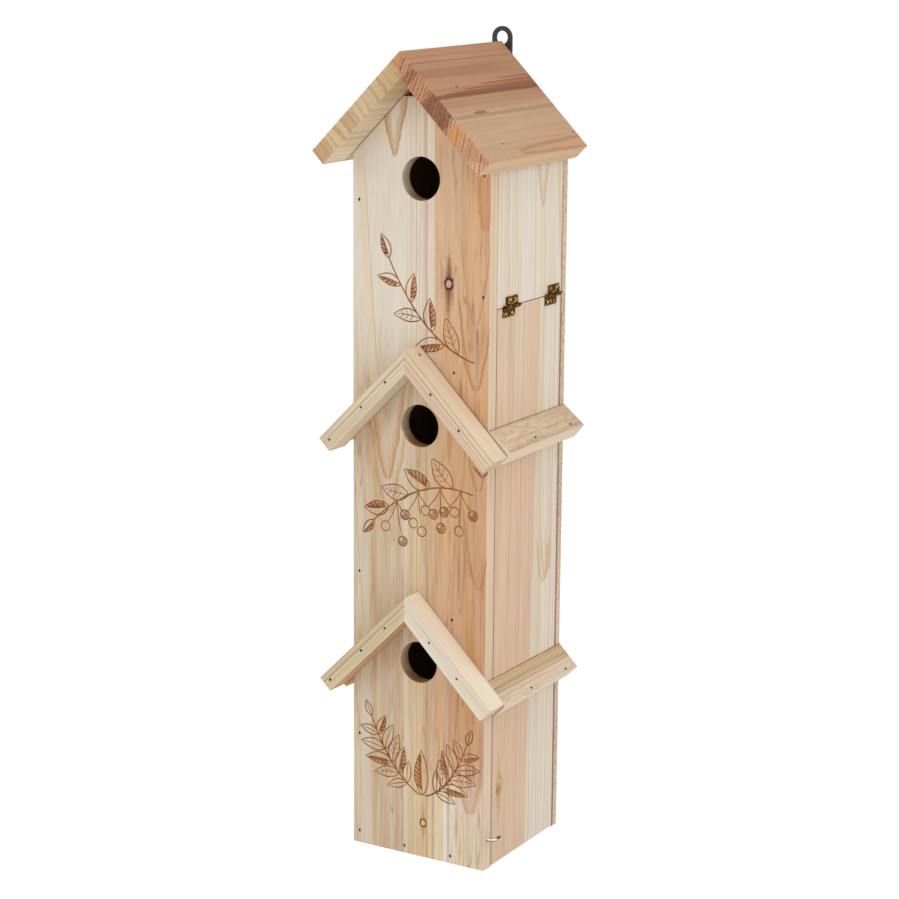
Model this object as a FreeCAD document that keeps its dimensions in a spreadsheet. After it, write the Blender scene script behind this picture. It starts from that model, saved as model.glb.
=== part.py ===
import FreeCAD, Part
import math
import os
import Sketcher

# Three-storey birdhouse of fir boards with a hinged clean-out door on its right side.
# Millimetres and degrees. X is right, Y is back, Z is up. The front faces -Y.
# The origin is the middle of the base, on the ground.

DIMENSIONS = {
    # Walls
    "wall_width": 117,
    "wall_depth": 116,
    "front_thick": 11,
    "side_thick": 11,
    "back_thick": 8,
    "apex_flat": 30,
    # Floors
    "storey_pitch": 188,
    "floor_thick": 12,
    "floor_gap": 0.5,
    # Entrances
    "entrance_diameter": 32,
    "entrance_height": 156,
    "entrance_pitch": 183,
    # Roof
    "roof_pitch": 45,
    "roof_thick": 13.5,
    "roof_slope": 105.5,
    "roof_overhang": 30,
    "ridge_height": 615,
    # Gables on the front and slats on the sides, cut from one strip
    "gable_height": 212,
    "gable_slope": 106.5,
    "strip_thick": 13,
    "strip_depth": 21.5,
    "slat_slope": 23.5,
    "slat_gap": 0.5,
    "upper_slat_pitch": 39,
    "upper_slat_lift": 1,
    "lower_slat_drop": 3,
    # Clean-out door
    "door_top": 430,
    "door_foot": 1,
    "door_gap": 0.6,
    # Hinges
    "hinge_front_inset": 18,
    "hinge_rear_inset": 14,
    "leaf_length": 17.5,
    "leaf_height": 7.4,
    "leaf_thick": 0.8,
    "knuckle_radius": 1.6,
    "knuckle_slot": 5.5,
    "knuckle_gap": 0.4,
    "knuckle_standoff": 0.3,
    "hinge_pin_radius": 0.8,
    "hinge_pin_fit": 0.05,
    "hinge_pin_end": 2,
    "tack_radius": 0.6,
    "tack_length": 8,
    "tack_head_radius": 1.2,
    "tack_head_height": 0.5,
    "tack_pitch": 9,
    "tack_height": 4.8,
    # Screw hook that keeps the door shut
    "hook_wire_radius": 1.1,
    "hook_height": 24.5,
    "hook_inset": 3.5,
    "hook_tilt": 6,
    "hook_screw": 14,
    "hook_reach": 7,
    "hook_arm": 9,
    "hook_bend": 2.5,
    "hook_fit": 0.06,
    # Hanger strap and its screws
    "strap_width": 17,
    "strap_thick": 2,
    "strap_rise": 2.5,
    "strap_length": 87.5,
    "strap_hole_radius": 5,
    "strap_screw_drop": 45.5,
    "strap_screw_radius": 1.75,
    "strap_screw_length": 6.5,
    "strap_screw_head_radius": 3.4,
    "strap_screw_head_height": 1.8,
    # Brads of square wire, and the room around wire and shanks in what they go through
    "brad_wire": 1.6,
    "brad_length": 30,
    "slat_brad_length": 24,
    "shank_fit": 0.05,
    "tip_fit": 0.5,
    "side_brad_low": 10,
    "side_brad_knee": 90,
    "side_brad_waist": 220,
    "side_brad_drop": 34,
    "panel_brad_rise": 10,
    "floor_brad_left": 12,
    "floor_brad_right": 29,
    "gable_brad_first": 17,
    "gable_brad_middle": 38,
    "gable_brad_end": 66,
    "gable_brad_near": 22,
    "gable_brad_far": 46,
    "apex_brad_out": 5.4,
    "apex_brad_inset": 12,
    "slat_brad_front": 45,
    "slat_brad_rear": 16,
    "slat_brad_out": 14.5,
    "roof_brad_low": 64.5,
    "roof_brad_high": 26,
}

doc = FreeCAD.newDocument("birdhouse")
sheet = doc.addObject("Spreadsheet::Sheet", "dims")
for row, (alias, value) in enumerate(DIMENSIONS.items(), start=1):
    sheet.set(f"A{row}", alias)
    sheet.set(f"B{row}", str(value))
    sheet.setAlias(f"B{row}", alias)
doc.recompute()

# Lengths and places that several pieces share, as expressions on the sheet
LEFT, RIGHT = "-1", "1"
HALF_WIDTH = "(dims.wall_width / 2)"
FRONT_FACE = "(-dims.wall_depth / 2)"
BACK_FACE = "(dims.wall_depth / 2)"
SIDE_FRONT = f"({FRONT_FACE} + dims.front_thick + dims.door_gap)"
SIDE_REAR = f"({BACK_FACE} - dims.back_thick - dims.door_gap)"
SIDE_DEPTH = f"({SIDE_REAR} - {SIDE_FRONT})"
FLOOR_FRONT = f"({FRONT_FACE} + dims.front_thick)"
FLOOR_DEPTH = "(dims.wall_depth - dims.front_thick - dims.back_thick)"
INNER_SIDE = f"({HALF_WIDTH} - dims.side_thick)"
SIDE_MIDDLE = f"({HALF_WIDTH} - dims.side_thick / 2)"
UNDER_RIDGE = "(dims.ridge_height - dims.roof_thick / cos(dims.roof_pitch))"
SHOULDER = f"({UNDER_RIDGE} - {HALF_WIDTH} * tan(dims.roof_pitch))"
INNER_SHOULDER = f"({UNDER_RIDGE} - {INNER_SIDE} * tan(dims.roof_pitch))"
APEX_CUT = f"({UNDER_RIDGE} - dims.apex_flat / 2 * tan(dims.roof_pitch))"
GABLE_FRONT = f"({FRONT_FACE} - dims.strip_depth)"
SLAT_FRONT = f"({FRONT_FACE} + dims.slat_gap)"
SLAT_DEPTH = "(dims.wall_depth - dims.slat_gap)"
LOWER_GABLE = "dims.gable_height"
UPPER_GABLE = "(dims.gable_height + dims.storey_pitch)"
UPPER_SLAT = f"({UPPER_GABLE} - {HALF_WIDTH} * tan(dims.roof_pitch) + dims.upper_slat_lift)"
LOWER_SLAT = f"({LOWER_GABLE} - {HALF_WIDTH} * tan(dims.roof_pitch) - dims.lower_slat_drop)"
SLATS = (("upper", UPPER_SLAT, "dims.upper_slat_pitch"), ("lower", LOWER_SLAT, "dims.roof_pitch"))
STRAP_TOP = "(dims.ridge_height + dims.strap_rise)"
STRAP_FOOT = f"({STRAP_TOP} - dims.strap_length)"
HINGE_AXIS_OUT = "(dims.knuckle_standoff + dims.knuckle_radius)"
FRONT_HINGE = f"({SIDE_FRONT} + dims.hinge_front_inset)"
REAR_HINGE = f"({SIDE_REAR} - dims.hinge_rear_inset)"
ENTRANCES = [f"(dims.entrance_height + {storey} * dims.entrance_pitch)" for storey in range(3)]
FLOORS = [f"({storey} * dims.storey_pitch)" for storey in range(3)]
FLOOR_MIDDLES = [f"({floor} + dims.floor_thick / 2)" for floor in FLOORS]

nodes = {}


def number(expression):
    """Value of an expression on the sheet, as a plain float."""
    return float(doc.dims.evalExpression(expression.replace("dims.", "")))


def bind(item, **sizes):
    """Tie properties of an object to expressions on the sheet."""
    for name, expression in sizes.items():
        item.setExpression(name, expression)
    return item


def place(item, x="0", y="0", z="0"):
    """Tie an object's position to expressions on the sheet."""
    for axis, expression in zip("xyz", (x, y, z)):
        item.setExpression(f"Placement.Base.{axis}", expression)
    return item


def new_sketch(body, name, plane_role):
    """Empty sketch on one of the body's own origin planes."""
    sketch = body.newObject("Sketcher::SketchObject", name)
    plane = next(item for item in body.Origin.OriginFeatures if item.Role == plane_role)
    sketch.AttachmentSupport = (plane, [""])
    sketch.MapMode = "FlatFace"
    return sketch


def pin_point(sketch, edge, point, across, up):
    """Fix a sketch point by its two coordinates, each an expression."""
    for kind, axis, expression in (("DistanceX", -2, across), ("DistanceY", -1, up)):
        if expression == "0":
            sketch.addConstraint(Sketcher.Constraint("PointOnObject", edge, point, axis))
        else:
            value = number(expression)
            index = sketch.addConstraint(Sketcher.Constraint(kind, -1, 1, edge, point, value))
            sketch.setExpression(f"Constraints[{index}]", expression)


def polygon(body, name, plane_role, corners):
    """Closed straight-sided sketch through corners given as pairs of expressions."""
    sketch = new_sketch(body, name, plane_role)
    points = [FreeCAD.Vector(number(across), number(up), 0) for across, up in corners]
    count = len(points)
    for index, point in enumerate(points):
        sketch.addGeometry(Part.LineSegment(point, points[(index + 1) % count]))
    for index in range(count):
        sketch.addConstraint(Sketcher.Constraint("Coincident", index, 2, (index + 1) % count, 1))
    for index, (across, up) in enumerate(corners):
        pin_point(sketch, index, 1, across, up)
    return sketch


def circles(body, name, plane_role, centres, radius):
    """Sketch of equal circles whose centres are pairs of expressions."""
    sketch = new_sketch(body, name, plane_role)
    for index, (across, up) in enumerate(centres):
        centre = FreeCAD.Vector(number(across), number(up), 0)
        sketch.addGeometry(Part.Circle(centre, FreeCAD.Vector(0, 0, 1), number(radius)))
        pin_point(sketch, index, 3, across, up)
        size = sketch.addConstraint(Sketcher.Constraint("Radius", index, number(radius)))
        sketch.setExpression(f"Constraints[{size}]", radius)
    return sketch


def pad(body, sketch, length, backwards=False, midplane=False):
    """Pad a sketch; backwards turns a pad on the XZ plane towards +Y."""
    feature = body.newObject("PartDesign::Pad", f"{sketch.Name}_pad")
    feature.Profile = sketch
    feature.Reversed = backwards
    feature.Midplane = midplane
    return bind(feature, Length=length)


def bore_through(body, sketch):
    """Pocket a sketch through the whole body, to both sides of its plane."""
    feature = body.newObject("PartDesign::Pocket", f"{sketch.Name}_pocket")
    feature.Profile = sketch
    feature.Type = "ThroughAll"
    feature.Midplane = True
    return feature


def board(name, corners, front, depth):
    """Board with an XZ outline, running back from its front face."""
    body = doc.addObject("PartDesign::Body", f"{name}_blank")
    pad(body, polygon(body, f"{name}_outline", "XZ_Plane", corners), depth, backwards=True)
    return place(body, y=front)


def gather(name, items):
    """Several objects as one compound of separate solids."""
    group = doc.addObject("Part::Compound", name)
    group.Links = items
    return group


def node(label, item):
    """Name a finished sub-part."""
    item.Label = label
    nodes[label] = item
    return item


def drilled(label, blank, *bores):
    """Finished piece: a blank with the bores of its fasteners cut away."""
    cut = doc.addObject("Part::Cut", f"{label}_drilled")
    cut.Base = blank
    cut.Tool = bores[0] if len(bores) == 1 else gather(f"{label}_bores", list(bores))
    return node(label, cut)


def slope_outline(side, top, length, thick, start="0", pitch="dims.roof_pitch"):
    """Corners of a board that slopes down from a plumb cut to a square-cut lower end."""
    run = f"({length} * cos({pitch}))"
    fall = f"({length} * sin({pitch}))"
    under_run = f"({run} - {thick} * sin({pitch}))"
    under_fall = f"({fall} + {thick} * cos({pitch}))"
    plumb = f"({thick} / cos({pitch}))"
    start_x = "0" if start == "0" else f"{side} * {start}"
    return [
        (start_x, top),
        (f"{side} * ({start} + {run})", f"{top} - {fall}"),
        (f"{side} * ({start} + {under_run})", f"{top} - {under_fall}"),
        (start_x, f"{top} - {plumb}"),
    ]


# Brads: square wire, driven from the head's centre along a turned Z axis

DRIVE_BACK = ((1, 0, 0), "-90")
DRIVE_FORWARD = ((1, 0, 0), "90")
DRIVE_RIGHT = ((0, 1, 0), "90")
DRIVE_LEFT = ((0, 1, 0), "-90")
DRIVE_RIGHT_ROOF = ((0, 1, 0), "dims.roof_pitch + 180")
DRIVE_LEFT_ROOF = ((0, 1, 0), "180 - dims.roof_pitch")


def driven(item, head, drive):
    """Put an object that runs along its own Z axis at a head's place, turned to the drive."""
    axis, angle = drive
    item.Placement = FreeCAD.Placement(FreeCAD.Vector(), FreeCAD.Rotation(FreeCAD.Vector(*axis), 1))
    item.setExpression("Placement.Rotation.Angle", f"({angle}) * 1 deg")
    return place(item, *head)


def square_wire(name, head, drive, side, length):
    """Length of square wire with one end at the head's place."""
    wire = doc.addObject("Part::Prism", name)
    wire.Polygon = 4
    bind(wire, Circumradius=f"({side}) / sqrt(2)", Height=length)
    return driven(wire, head, drive)


def brads(label, spots, length):
    """Group of brads as one sub-part; returns the bores that they sit in."""
    wires = []
    bores = []
    for index, (head, drive) in enumerate(spots):
        wires.append(square_wire(f"{label}_{index}", head, drive, "dims.brad_wire", length))
        bore_side = "dims.brad_wire + 2 * dims.shank_fit"
        bore_length = f"{length} + dims.tip_fit"
        bores.append(square_wire(f"{label}_bore_{index}", head, drive, bore_side, bore_length))
    node(label, gather(f"{label}_group", wires))
    return gather(f"{label}_bore_group", bores)


def panel_brad_spots(face, drive):
    """Heads on the front or back panel: along both side panels and into every floor."""
    left_heights = [
        "dims.side_brad_low",
        "dims.side_brad_knee",
        "dims.side_brad_waist",
        f"{SHOULDER} - dims.side_brad_drop",
    ]
    right_heights = [
        "dims.door_top + dims.panel_brad_rise",
        f"{SHOULDER} - dims.panel_brad_rise",
    ]
    spots = [((f"-{SIDE_MIDDLE}", face, height), drive) for height in left_heights]
    spots += [((SIDE_MIDDLE, face, height), drive) for height in right_heights]
    for height in FLOOR_MIDDLES:
        spots.append((("-dims.floor_brad_left", face, height), drive))
        spots.append((("dims.floor_brad_right", face, height), drive))
    return spots


def gable_brad_spots():
    """Heads on the front of the gable boards; the last on the left goes into the slat's end."""
    middle = "dims.strip_thick / cos(dims.roof_pitch) / 2"
    columns = [
        (LEFT, "dims.gable_brad_first"),
        (LEFT, "dims.gable_brad_middle"),
        (LEFT, "dims.gable_brad_end"),
        (RIGHT, "dims.gable_brad_near"),
        (RIGHT, "dims.gable_brad_far"),
    ]
    spots = []
    for top in (UPPER_GABLE, LOWER_GABLE):
        for side, column in columns:
            height = f"{top} - {column} * tan(dims.roof_pitch) - {middle}"
            spots.append(((f"{side} * {column}", GABLE_FRONT, height), DRIVE_BACK))
    return spots


def apex_brad_spot():
    """Head near the upper gable's apex, where a brad joins its right board to its left one."""
    height = f"{UPPER_GABLE} - dims.apex_brad_out * tan(dims.roof_pitch)"
    head = ("dims.apex_brad_out", f"{GABLE_FRONT} + dims.apex_brad_inset", height)
    return (head, DRIVE_RIGHT_ROOF)


def slat_brad_spots(side, drive):
    """Heads on the sloped tops of the two slats of one side."""
    out = f"{side} * ({HALF_WIDTH} + dims.slat_brad_out)"
    spots = []
    for _, top, pitch in SLATS:
        height = f"{top} - dims.slat_brad_out * tan({pitch})"
        for along in (f"{BACK_FACE} - dims.slat_brad_rear", f"{FRONT_FACE} + dims.slat_brad_front"):
            spots.append(((out, along, height), drive))
    return spots


def roof_brad_spots():
    """Heads on the roof boards, over the sloped edges of the front and back panels."""
    spots = []
    for side, drive in ((LEFT, DRIVE_LEFT_ROOF), (RIGHT, DRIVE_RIGHT_ROOF)):
        for out in ("dims.roof_brad_low", "dims.roof_brad_high"):
            height = f"dims.ridge_height - {out} * tan(dims.roof_pitch)"
            for along in (f"{FRONT_FACE} + dims.front_thick / 2", f"{BACK_FACE} - dims.back_thick / 2"):
                spots.append(((f"{side} * {out}", along, height), drive))
    return spots


# Hinges, each of two equal leaves, the lower one turned over, with a pin and round-headed tacks

def hinge_leaf(label, along):
    """Leaf with two rolled knuckles, two tack holes and room for the other leaf's knuckles."""
    body = doc.addObject("PartDesign::Body", f"{label}_body")
    slot = "dims.knuckle_slot"
    half_gap = "dims.knuckle_gap / 2"
    clear = f"({HINGE_AXIS_OUT} + dims.knuckle_gap)"
    end = f"2 * {slot}"
    start = f"{end} - dims.leaf_length"
    plate = [
        (start, "dims.leaf_height"),
        (end, "dims.leaf_height"),
        (end, "0"),
        (f"{slot} + {half_gap}", "0"),
        (f"{slot} + {half_gap}", clear),
        (f"-{half_gap}", clear),
        (f"-{half_gap}", "0"),
        (f"-{slot} + {half_gap}", "0"),
        (f"-{slot} + {half_gap}", clear),
        (start, clear),
    ]
    pad(body, polygon(body, f"{label}_plate", "YZ_Plane", plate), "dims.leaf_thick")
    axis = [(HINGE_AXIS_OUT, "0")]
    for index, middle in enumerate((f"-{slot} / 2", f"3 * {slot} / 2")):
        roll = circles(body, f"{label}_roll_{index}", "XZ_Plane", axis, "dims.knuckle_radius")
        roll.setExpression("AttachmentOffset.Base.z", f"-({middle})")
        pad(body, roll, f"{slot} - dims.knuckle_gap", midplane=True)
    pin_bore = "dims.hinge_pin_radius + dims.hinge_pin_fit"
    bore_through(body, circles(body, f"{label}_pin_bore", "XZ_Plane", axis, pin_bore))
    holes = [(across, "dims.tack_height") for across in tack_columns()]
    tack_bore = "dims.tack_radius + dims.shank_fit"
    bore_through(body, circles(body, f"{label}_tack_holes", "YZ_Plane", holes, tack_bore))
    return place(node(label, body), HALF_WIDTH, along, "dims.door_top")


def tack_columns():
    """Places of a leaf's two tacks along its length."""
    middle = "(2 * dims.knuckle_slot - dims.leaf_length / 2)"
    return [f"{middle} - dims.tack_pitch / 2", f"{middle} + dims.tack_pitch / 2"]


def turn_over(body):
    """Turn a body half round about the X axis."""
    body.Placement = FreeCAD.Placement(body.Placement.Base, FreeCAD.Rotation(FreeCAD.Vector(1, 0, 0), 180))


def round_rod(name, head, drive, radius, length):
    """Round rod with one end at the head's place."""
    rod = doc.addObject("Part::Cylinder", name)
    bind(rod, Radius=radius, Height=length)
    return driven(rod, head, drive)


def headed_pins(label, spots, shank, length, head_radius, head_height, out_drive):
    """Group of round-headed pins; each spot is where head meets plate. Returns their bores."""
    pins = []
    bores = []
    for index, (seat, drive) in enumerate(spots):
        rod = round_rod(f"{label}_shank_{index}", seat, drive, shank, length)
        cap = round_rod(f"{label}_cap_{index}", seat, out_drive, head_radius, head_height)
        pin = doc.addObject("Part::Fuse", f"{label}_{index}")
        pin.Base = rod
        pin.Tool = cap
        pins.append(pin)
        bore_radius = f"{shank} + dims.shank_fit"
        bore_length = f"{length} + dims.tip_fit"
        bores.append(round_rod(f"{label}_bore_{index}", seat, drive, bore_radius, bore_length))
    node(label, gather(f"{label}_group", pins))
    return gather(f"{label}_bore_group", bores)


def tack_spots(sign):
    """Seats of the tacks of both upper leaves (sign 1) or both lower leaves (sign -1)."""
    out = f"{HALF_WIDTH} + dims.leaf_thick"
    height = f"dims.door_top + {sign} * dims.tack_height"
    spots = []
    for hinge in (FRONT_HINGE, REAR_HINGE):
        for column in tack_columns():
            spots.append(((out, f"{hinge} + {sign} * ({column})", height), DRIVE_LEFT))
    return spots


def hinge(name, along):
    """Upper leaf, lower leaf and pin of one hinge."""
    hinge_leaf(f"{name}_upper_leaf", along)
    turn_over(hinge_leaf(f"{name}_lower_leaf", along))
    start = f"{along} - 2 * dims.knuckle_slot"
    length = "4 * dims.knuckle_slot + dims.hinge_pin_end"
    head = (f"{HALF_WIDTH} + {HINGE_AXIS_OUT}", start, "dims.door_top")
    node(f"{name}_pin", round_rod(f"{name}_rod", head, DRIVE_BACK, "dims.hinge_pin_radius", length))


# Screw hook: one wire, bent square, standing in the edge of the front panel

def hook():
    """Hook with its screw along local X and its arm towards the back; returns its bore."""
    body = doc.addObject("PartDesign::Body", "turn_hook_body")
    path = new_sketch(body, "hook_path", "XY_Plane")
    screw, reach, arm, bend = (number(f"dims.hook_{part}") for part in ("screw", "reach", "arm", "bend"))
    corner = FreeCAD.Vector(reach - bend, bend, 0)
    quarter_start, quarter_end = FreeCAD.Vector(reach - bend, 0, 0), FreeCAD.Vector(reach, bend, 0)
    path.addGeometry(Part.LineSegment(FreeCAD.Vector(-screw, 0, 0), quarter_start))
    ring = Part.Circle(corner, FreeCAD.Vector(0, 0, 1), bend)
    path.addGeometry(Part.ArcOfCircle(ring, ring.parameter(quarter_start), ring.parameter(quarter_end)))
    path.addGeometry(Part.LineSegment(quarter_end, FreeCAD.Vector(reach, arm, 0)))
    path.addConstraint(Sketcher.Constraint("Tangent", 0, 2, 1, 1))
    path.addConstraint(Sketcher.Constraint("Tangent", 1, 2, 2, 1))
    path.addConstraint(Sketcher.Constraint("Vertical", 2))
    pin_point(path, 0, 1, "-dims.hook_screw", "0")
    pin_point(path, 2, 2, "dims.hook_reach", "dims.hook_arm")
    size = path.addConstraint(Sketcher.Constraint("Radius", 1, bend))
    path.setExpression(f"Constraints[{size}]", "dims.hook_bend")
    path.addConstraint(Sketcher.Constraint("PointOnObject", 0, 2, -1))
    wire = circles(body, "hook_wire", "YZ_Plane", [("0", "0")], "dims.hook_wire_radius")
    wire.setExpression("AttachmentOffset.Base.z", "-dims.hook_screw")
    pipe = body.newObject("PartDesign::AdditivePipe", "hook_pipe")
    pipe.Profile = wire
    pipe.Spine = path
    root = (HALF_WIDTH, f"{FRONT_FACE} + dims.hook_inset", "dims.hook_height")
    body.Placement = FreeCAD.Placement(FreeCAD.Vector(), FreeCAD.Rotation(FreeCAD.Vector(0, 1, 0), 1))
    body.setExpression("Placement.Rotation.Angle", "-dims.hook_tilt * 1 deg")
    node("turn_hook", place(body, *root))
    mouth = (
        f"{HALF_WIDTH} + dims.hook_bend * cos(dims.hook_tilt)",
        f"{FRONT_FACE} + dims.hook_inset",
        "dims.hook_height + dims.hook_bend * sin(dims.hook_tilt)",
    )
    drive = ((0, 1, 0), "-90 - dims.hook_tilt")
    radius = "dims.hook_wire_radius + dims.hook_fit"
    return round_rod("hook_bore", mouth, drive, radius, "dims.hook_bend + dims.hook_screw + dims.tip_fit")


# Hanger strap: flat steel with round ends, a hanging hole at the top and two screw holes

def strap_screw_heights():
    """Heights of the strap's two screws."""
    return [f"{STRAP_TOP} - dims.strap_screw_drop", STRAP_FOOT]


def hanger_strap():
    """Strap flat on the back panel, standing above the ridge."""
    body = doc.addObject("PartDesign::Body", "hanger_strap_body")
    outline = new_sketch(body, "strap_outline", "XZ_Plane")
    half = number("dims.strap_width / 2")
    low, high = number(STRAP_FOOT), number(STRAP_TOP)
    normal = FreeCAD.Vector(0, 0, 1)
    top_ring = Part.Circle(FreeCAD.Vector(0, high, 0), normal, half)
    foot_ring = Part.Circle(FreeCAD.Vector(0, low, 0), normal, half)
    outline.addGeometry(Part.ArcOfCircle(top_ring, 0, math.pi))
    outline.addGeometry(Part.LineSegment(FreeCAD.Vector(-half, high, 0), FreeCAD.Vector(-half, low, 0)))
    outline.addGeometry(Part.ArcOfCircle(foot_ring, math.pi, 2 * math.pi))
    outline.addGeometry(Part.LineSegment(FreeCAD.Vector(half, low, 0), FreeCAD.Vector(half, high, 0)))
    for edge in range(4):
        outline.addConstraint(Sketcher.Constraint("Tangent", edge, 2, (edge + 1) % 4, 1))
    outline.addConstraint(Sketcher.Constraint("Equal", 0, 2))
    pin_point(outline, 0, 3, "0", STRAP_TOP)
    pin_point(outline, 2, 3, "0", STRAP_FOOT)
    size = outline.addConstraint(Sketcher.Constraint("Radius", 0, half))
    outline.setExpression(f"Constraints[{size}]", "dims.strap_width / 2")
    pad(body, outline, "dims.strap_thick", backwards=True)
    hanging_hole = [("0", STRAP_TOP)]
    bore_through(body, circles(body, "hanging_hole", "XZ_Plane", hanging_hole, "dims.strap_hole_radius"))
    screw_holes = [("0", height) for height in strap_screw_heights()]
    screw_bore = "dims.strap_screw_radius + dims.shank_fit"
    bore_through(body, circles(body, "strap_screw_holes", "XZ_Plane", screw_holes, screw_bore))
    return place(node("hanger_strap", body), y=BACK_FACE)


# Fasteners first, because the boards are drilled for them

front_bores = brads("front_brads", panel_brad_spots(FRONT_FACE, DRIVE_BACK), "dims.brad_length")
back_bores = brads("back_brads", panel_brad_spots(BACK_FACE, DRIVE_FORWARD), "dims.brad_length")
gable_bores = brads("gable_brads", gable_brad_spots(), "dims.brad_length")
apex_bore = brads("apex_brad", [apex_brad_spot()], "dims.slat_brad_length")
roof_bores = brads("roof_brads", roof_brad_spots(), "dims.brad_length")
left_slat_bores = brads("left_slat_brads", slat_brad_spots(LEFT, DRIVE_RIGHT), "dims.slat_brad_length")
door_slat_bores = brads("door_slat_brads", slat_brad_spots(RIGHT, DRIVE_LEFT), "dims.slat_brad_length")

tack_sizes = ("dims.tack_radius", "dims.tack_length", "dims.tack_head_radius", "dims.tack_head_height")
wall_tack_bores = headed_pins("hinge_tacks_wall", tack_spots(RIGHT), *tack_sizes, DRIVE_RIGHT)
door_tack_bores = headed_pins("hinge_tacks_door", tack_spots(LEFT), *tack_sizes, DRIVE_RIGHT)

screw_seats = [
    (("0", f"{BACK_FACE} + dims.strap_thick", height), DRIVE_FORWARD) for height in strap_screw_heights()
]
screw_sizes = (
    "dims.strap_screw_radius",
    "dims.strap_screw_length",
    "dims.strap_screw_head_radius",
    "dims.strap_screw_head_height",
)
strap_screw_bores = headed_pins("hanger_screws", screw_seats, *screw_sizes, DRIVE_BACK)

hook_bore = hook()
hinge("front_hinge", FRONT_HINGE)
hinge("rear_hinge", REAR_HINGE)
hanger_strap()

# Walls

gable_wall = [
    (f"-{HALF_WIDTH}", "0"),
    (HALF_WIDTH, "0"),
    (HALF_WIDTH, SHOULDER),
    ("dims.apex_flat / 2", APEX_CUT),
    ("-dims.apex_flat / 2", APEX_CUT),
    (f"-{HALF_WIDTH}", SHOULDER),
]
front_blank = board("front_panel", gable_wall, FRONT_FACE, "dims.front_thick")
entrance_centres = [("0", height) for height in ENTRANCES]
bore_through(
    front_blank,
    circles(front_blank, "entrances", "XZ_Plane", entrance_centres, "dims.entrance_diameter / 2"),
)
drilled("front_panel", front_blank, front_bores, gable_bores, roof_bores, hook_bore)

back_start = f"{BACK_FACE} - dims.back_thick"
back_blank = board("back_panel", gable_wall, back_start, "dims.back_thick")
drilled("back_panel", back_blank, back_bores, roof_bores, strap_screw_bores)

left_wall = [
    (f"-{HALF_WIDTH}", "0"),
    (f"-{INNER_SIDE}", "0"),
    (f"-{INNER_SIDE}", INNER_SHOULDER),
    (f"-{HALF_WIDTH}", SHOULDER),
]
left_blank = board("left_side_panel", left_wall, FLOOR_FRONT, FLOOR_DEPTH)
drilled("left_side_panel", left_blank, front_bores, back_bores, left_slat_bores)

panel_foot = "dims.door_top + dims.door_gap / 2"
right_wall = [
    (INNER_SIDE, panel_foot),
    (HALF_WIDTH, panel_foot),
    (HALF_WIDTH, SHOULDER),
    (INNER_SIDE, INNER_SHOULDER),
]
right_blank = board("right_upper_panel", right_wall, FLOOR_FRONT, FLOOR_DEPTH)
drilled("right_upper_panel", right_blank, front_bores, back_bores, wall_tack_bores)

# Floors, short of the door by a small gap

for name, floor in zip(("base_floor", "middle_floor", "upper_floor"), FLOORS):
    floor_top = f"{floor} + dims.floor_thick"
    floor_right = f"{INNER_SIDE} - dims.floor_gap"
    floor_foot = "0" if name == "base_floor" else floor
    floor_outline = [
        (f"-{INNER_SIDE}", floor_foot),
        (floor_right, floor_foot),
        (floor_right, floor_top),
        (f"-{INNER_SIDE}", floor_top),
    ]
    drilled(name, board(name, floor_outline, FLOOR_FRONT, FLOOR_DEPTH), front_bores, back_bores)

# Roof, gables and slats

roof_front = f"{FRONT_FACE} - dims.roof_overhang"
roof_length = "dims.wall_depth + dims.roof_overhang"
for word, side in (("left", LEFT), ("right", RIGHT)):
    roof_outline = slope_outline(side, "dims.ridge_height", "dims.roof_slope", "dims.roof_thick")
    roof_blank = board(f"{word}_roof_board", roof_outline, roof_front, roof_length)
    drilled(f"{word}_roof_board", roof_blank, roof_bores)
    for level, top in (("upper", UPPER_GABLE), ("lower", LOWER_GABLE)):
        gable_name = f"{level}_gable_{word}"
        gable_outline = slope_outline(side, top, "dims.gable_slope", "dims.strip_thick")
        gable_blank = board(gable_name, gable_outline, GABLE_FRONT, "dims.strip_depth")
        drilled(gable_name, gable_blank, gable_bores, apex_bore)

for level, top, pitch in SLATS:
    for word, side, slat_bores in (
        ("left", LEFT, [left_slat_bores, gable_bores]),
        ("door", RIGHT, [door_slat_bores]),
    ):
        slat_name = f"{word}_slat_{level}"
        slat_outline = slope_outline(side, top, "dims.slat_slope", "dims.strip_thick", HALF_WIDTH, pitch)
        drilled(slat_name, board(slat_name, slat_outline, SLAT_FRONT, SLAT_DEPTH), *slat_bores)

# Clean-out door, hung below the right upper panel

door_head = "dims.door_top - dims.door_gap / 2"
door_outline = [
    (INNER_SIDE, "dims.door_foot"),
    (HALF_WIDTH, "dims.door_foot"),
    (HALF_WIDTH, door_head),
    (INNER_SIDE, door_head),
]
door_blank = board("clean_out_door", door_outline, SIDE_FRONT, SIDE_DEPTH)
drilled("clean_out_door", door_blank, door_slat_bores, door_tack_bores)

doc.recompute()

for item in doc.Objects:
    if "Invalid" in item.State or "Error" in item.State:
        raise RuntimeError(f"{item.Name} did not build: {item.State}")
    if item.TypeId == "PartDesign::Pocket" and item.Shape.Volume >= item.BaseFeature.Shape.Volume:
        raise RuntimeError(f"{item.Name} cuts nothing")

os.makedirs("parts", exist_ok=True)
for label, item in nodes.items():
    if item.Shape.isNull() or not item.Shape.isValid():
        raise RuntimeError(f"{label} is not a valid shape")
for label, item in nodes.items():
    item.Shape.exportStep(f"parts/{label}.step")
    box = item.Shape.BoundBox
    size = f"{box.XLength:.1f} x {box.YLength:.1f} x {box.ZLength:.1f}"
    print(f"{label}: {len(item.Shape.Solids)} solids, {size}")
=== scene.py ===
"""Looks of a three-storey fir birdhouse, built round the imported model.

Lengths are in metres. X is right, Y is back, Z is up, and the front faces -Y.
"""

from __future__ import annotations

import logging
import math
from dataclasses import dataclass
from enum import Enum
from functools import cache
from typing import Any, Callable, Iterable, Sequence

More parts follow.
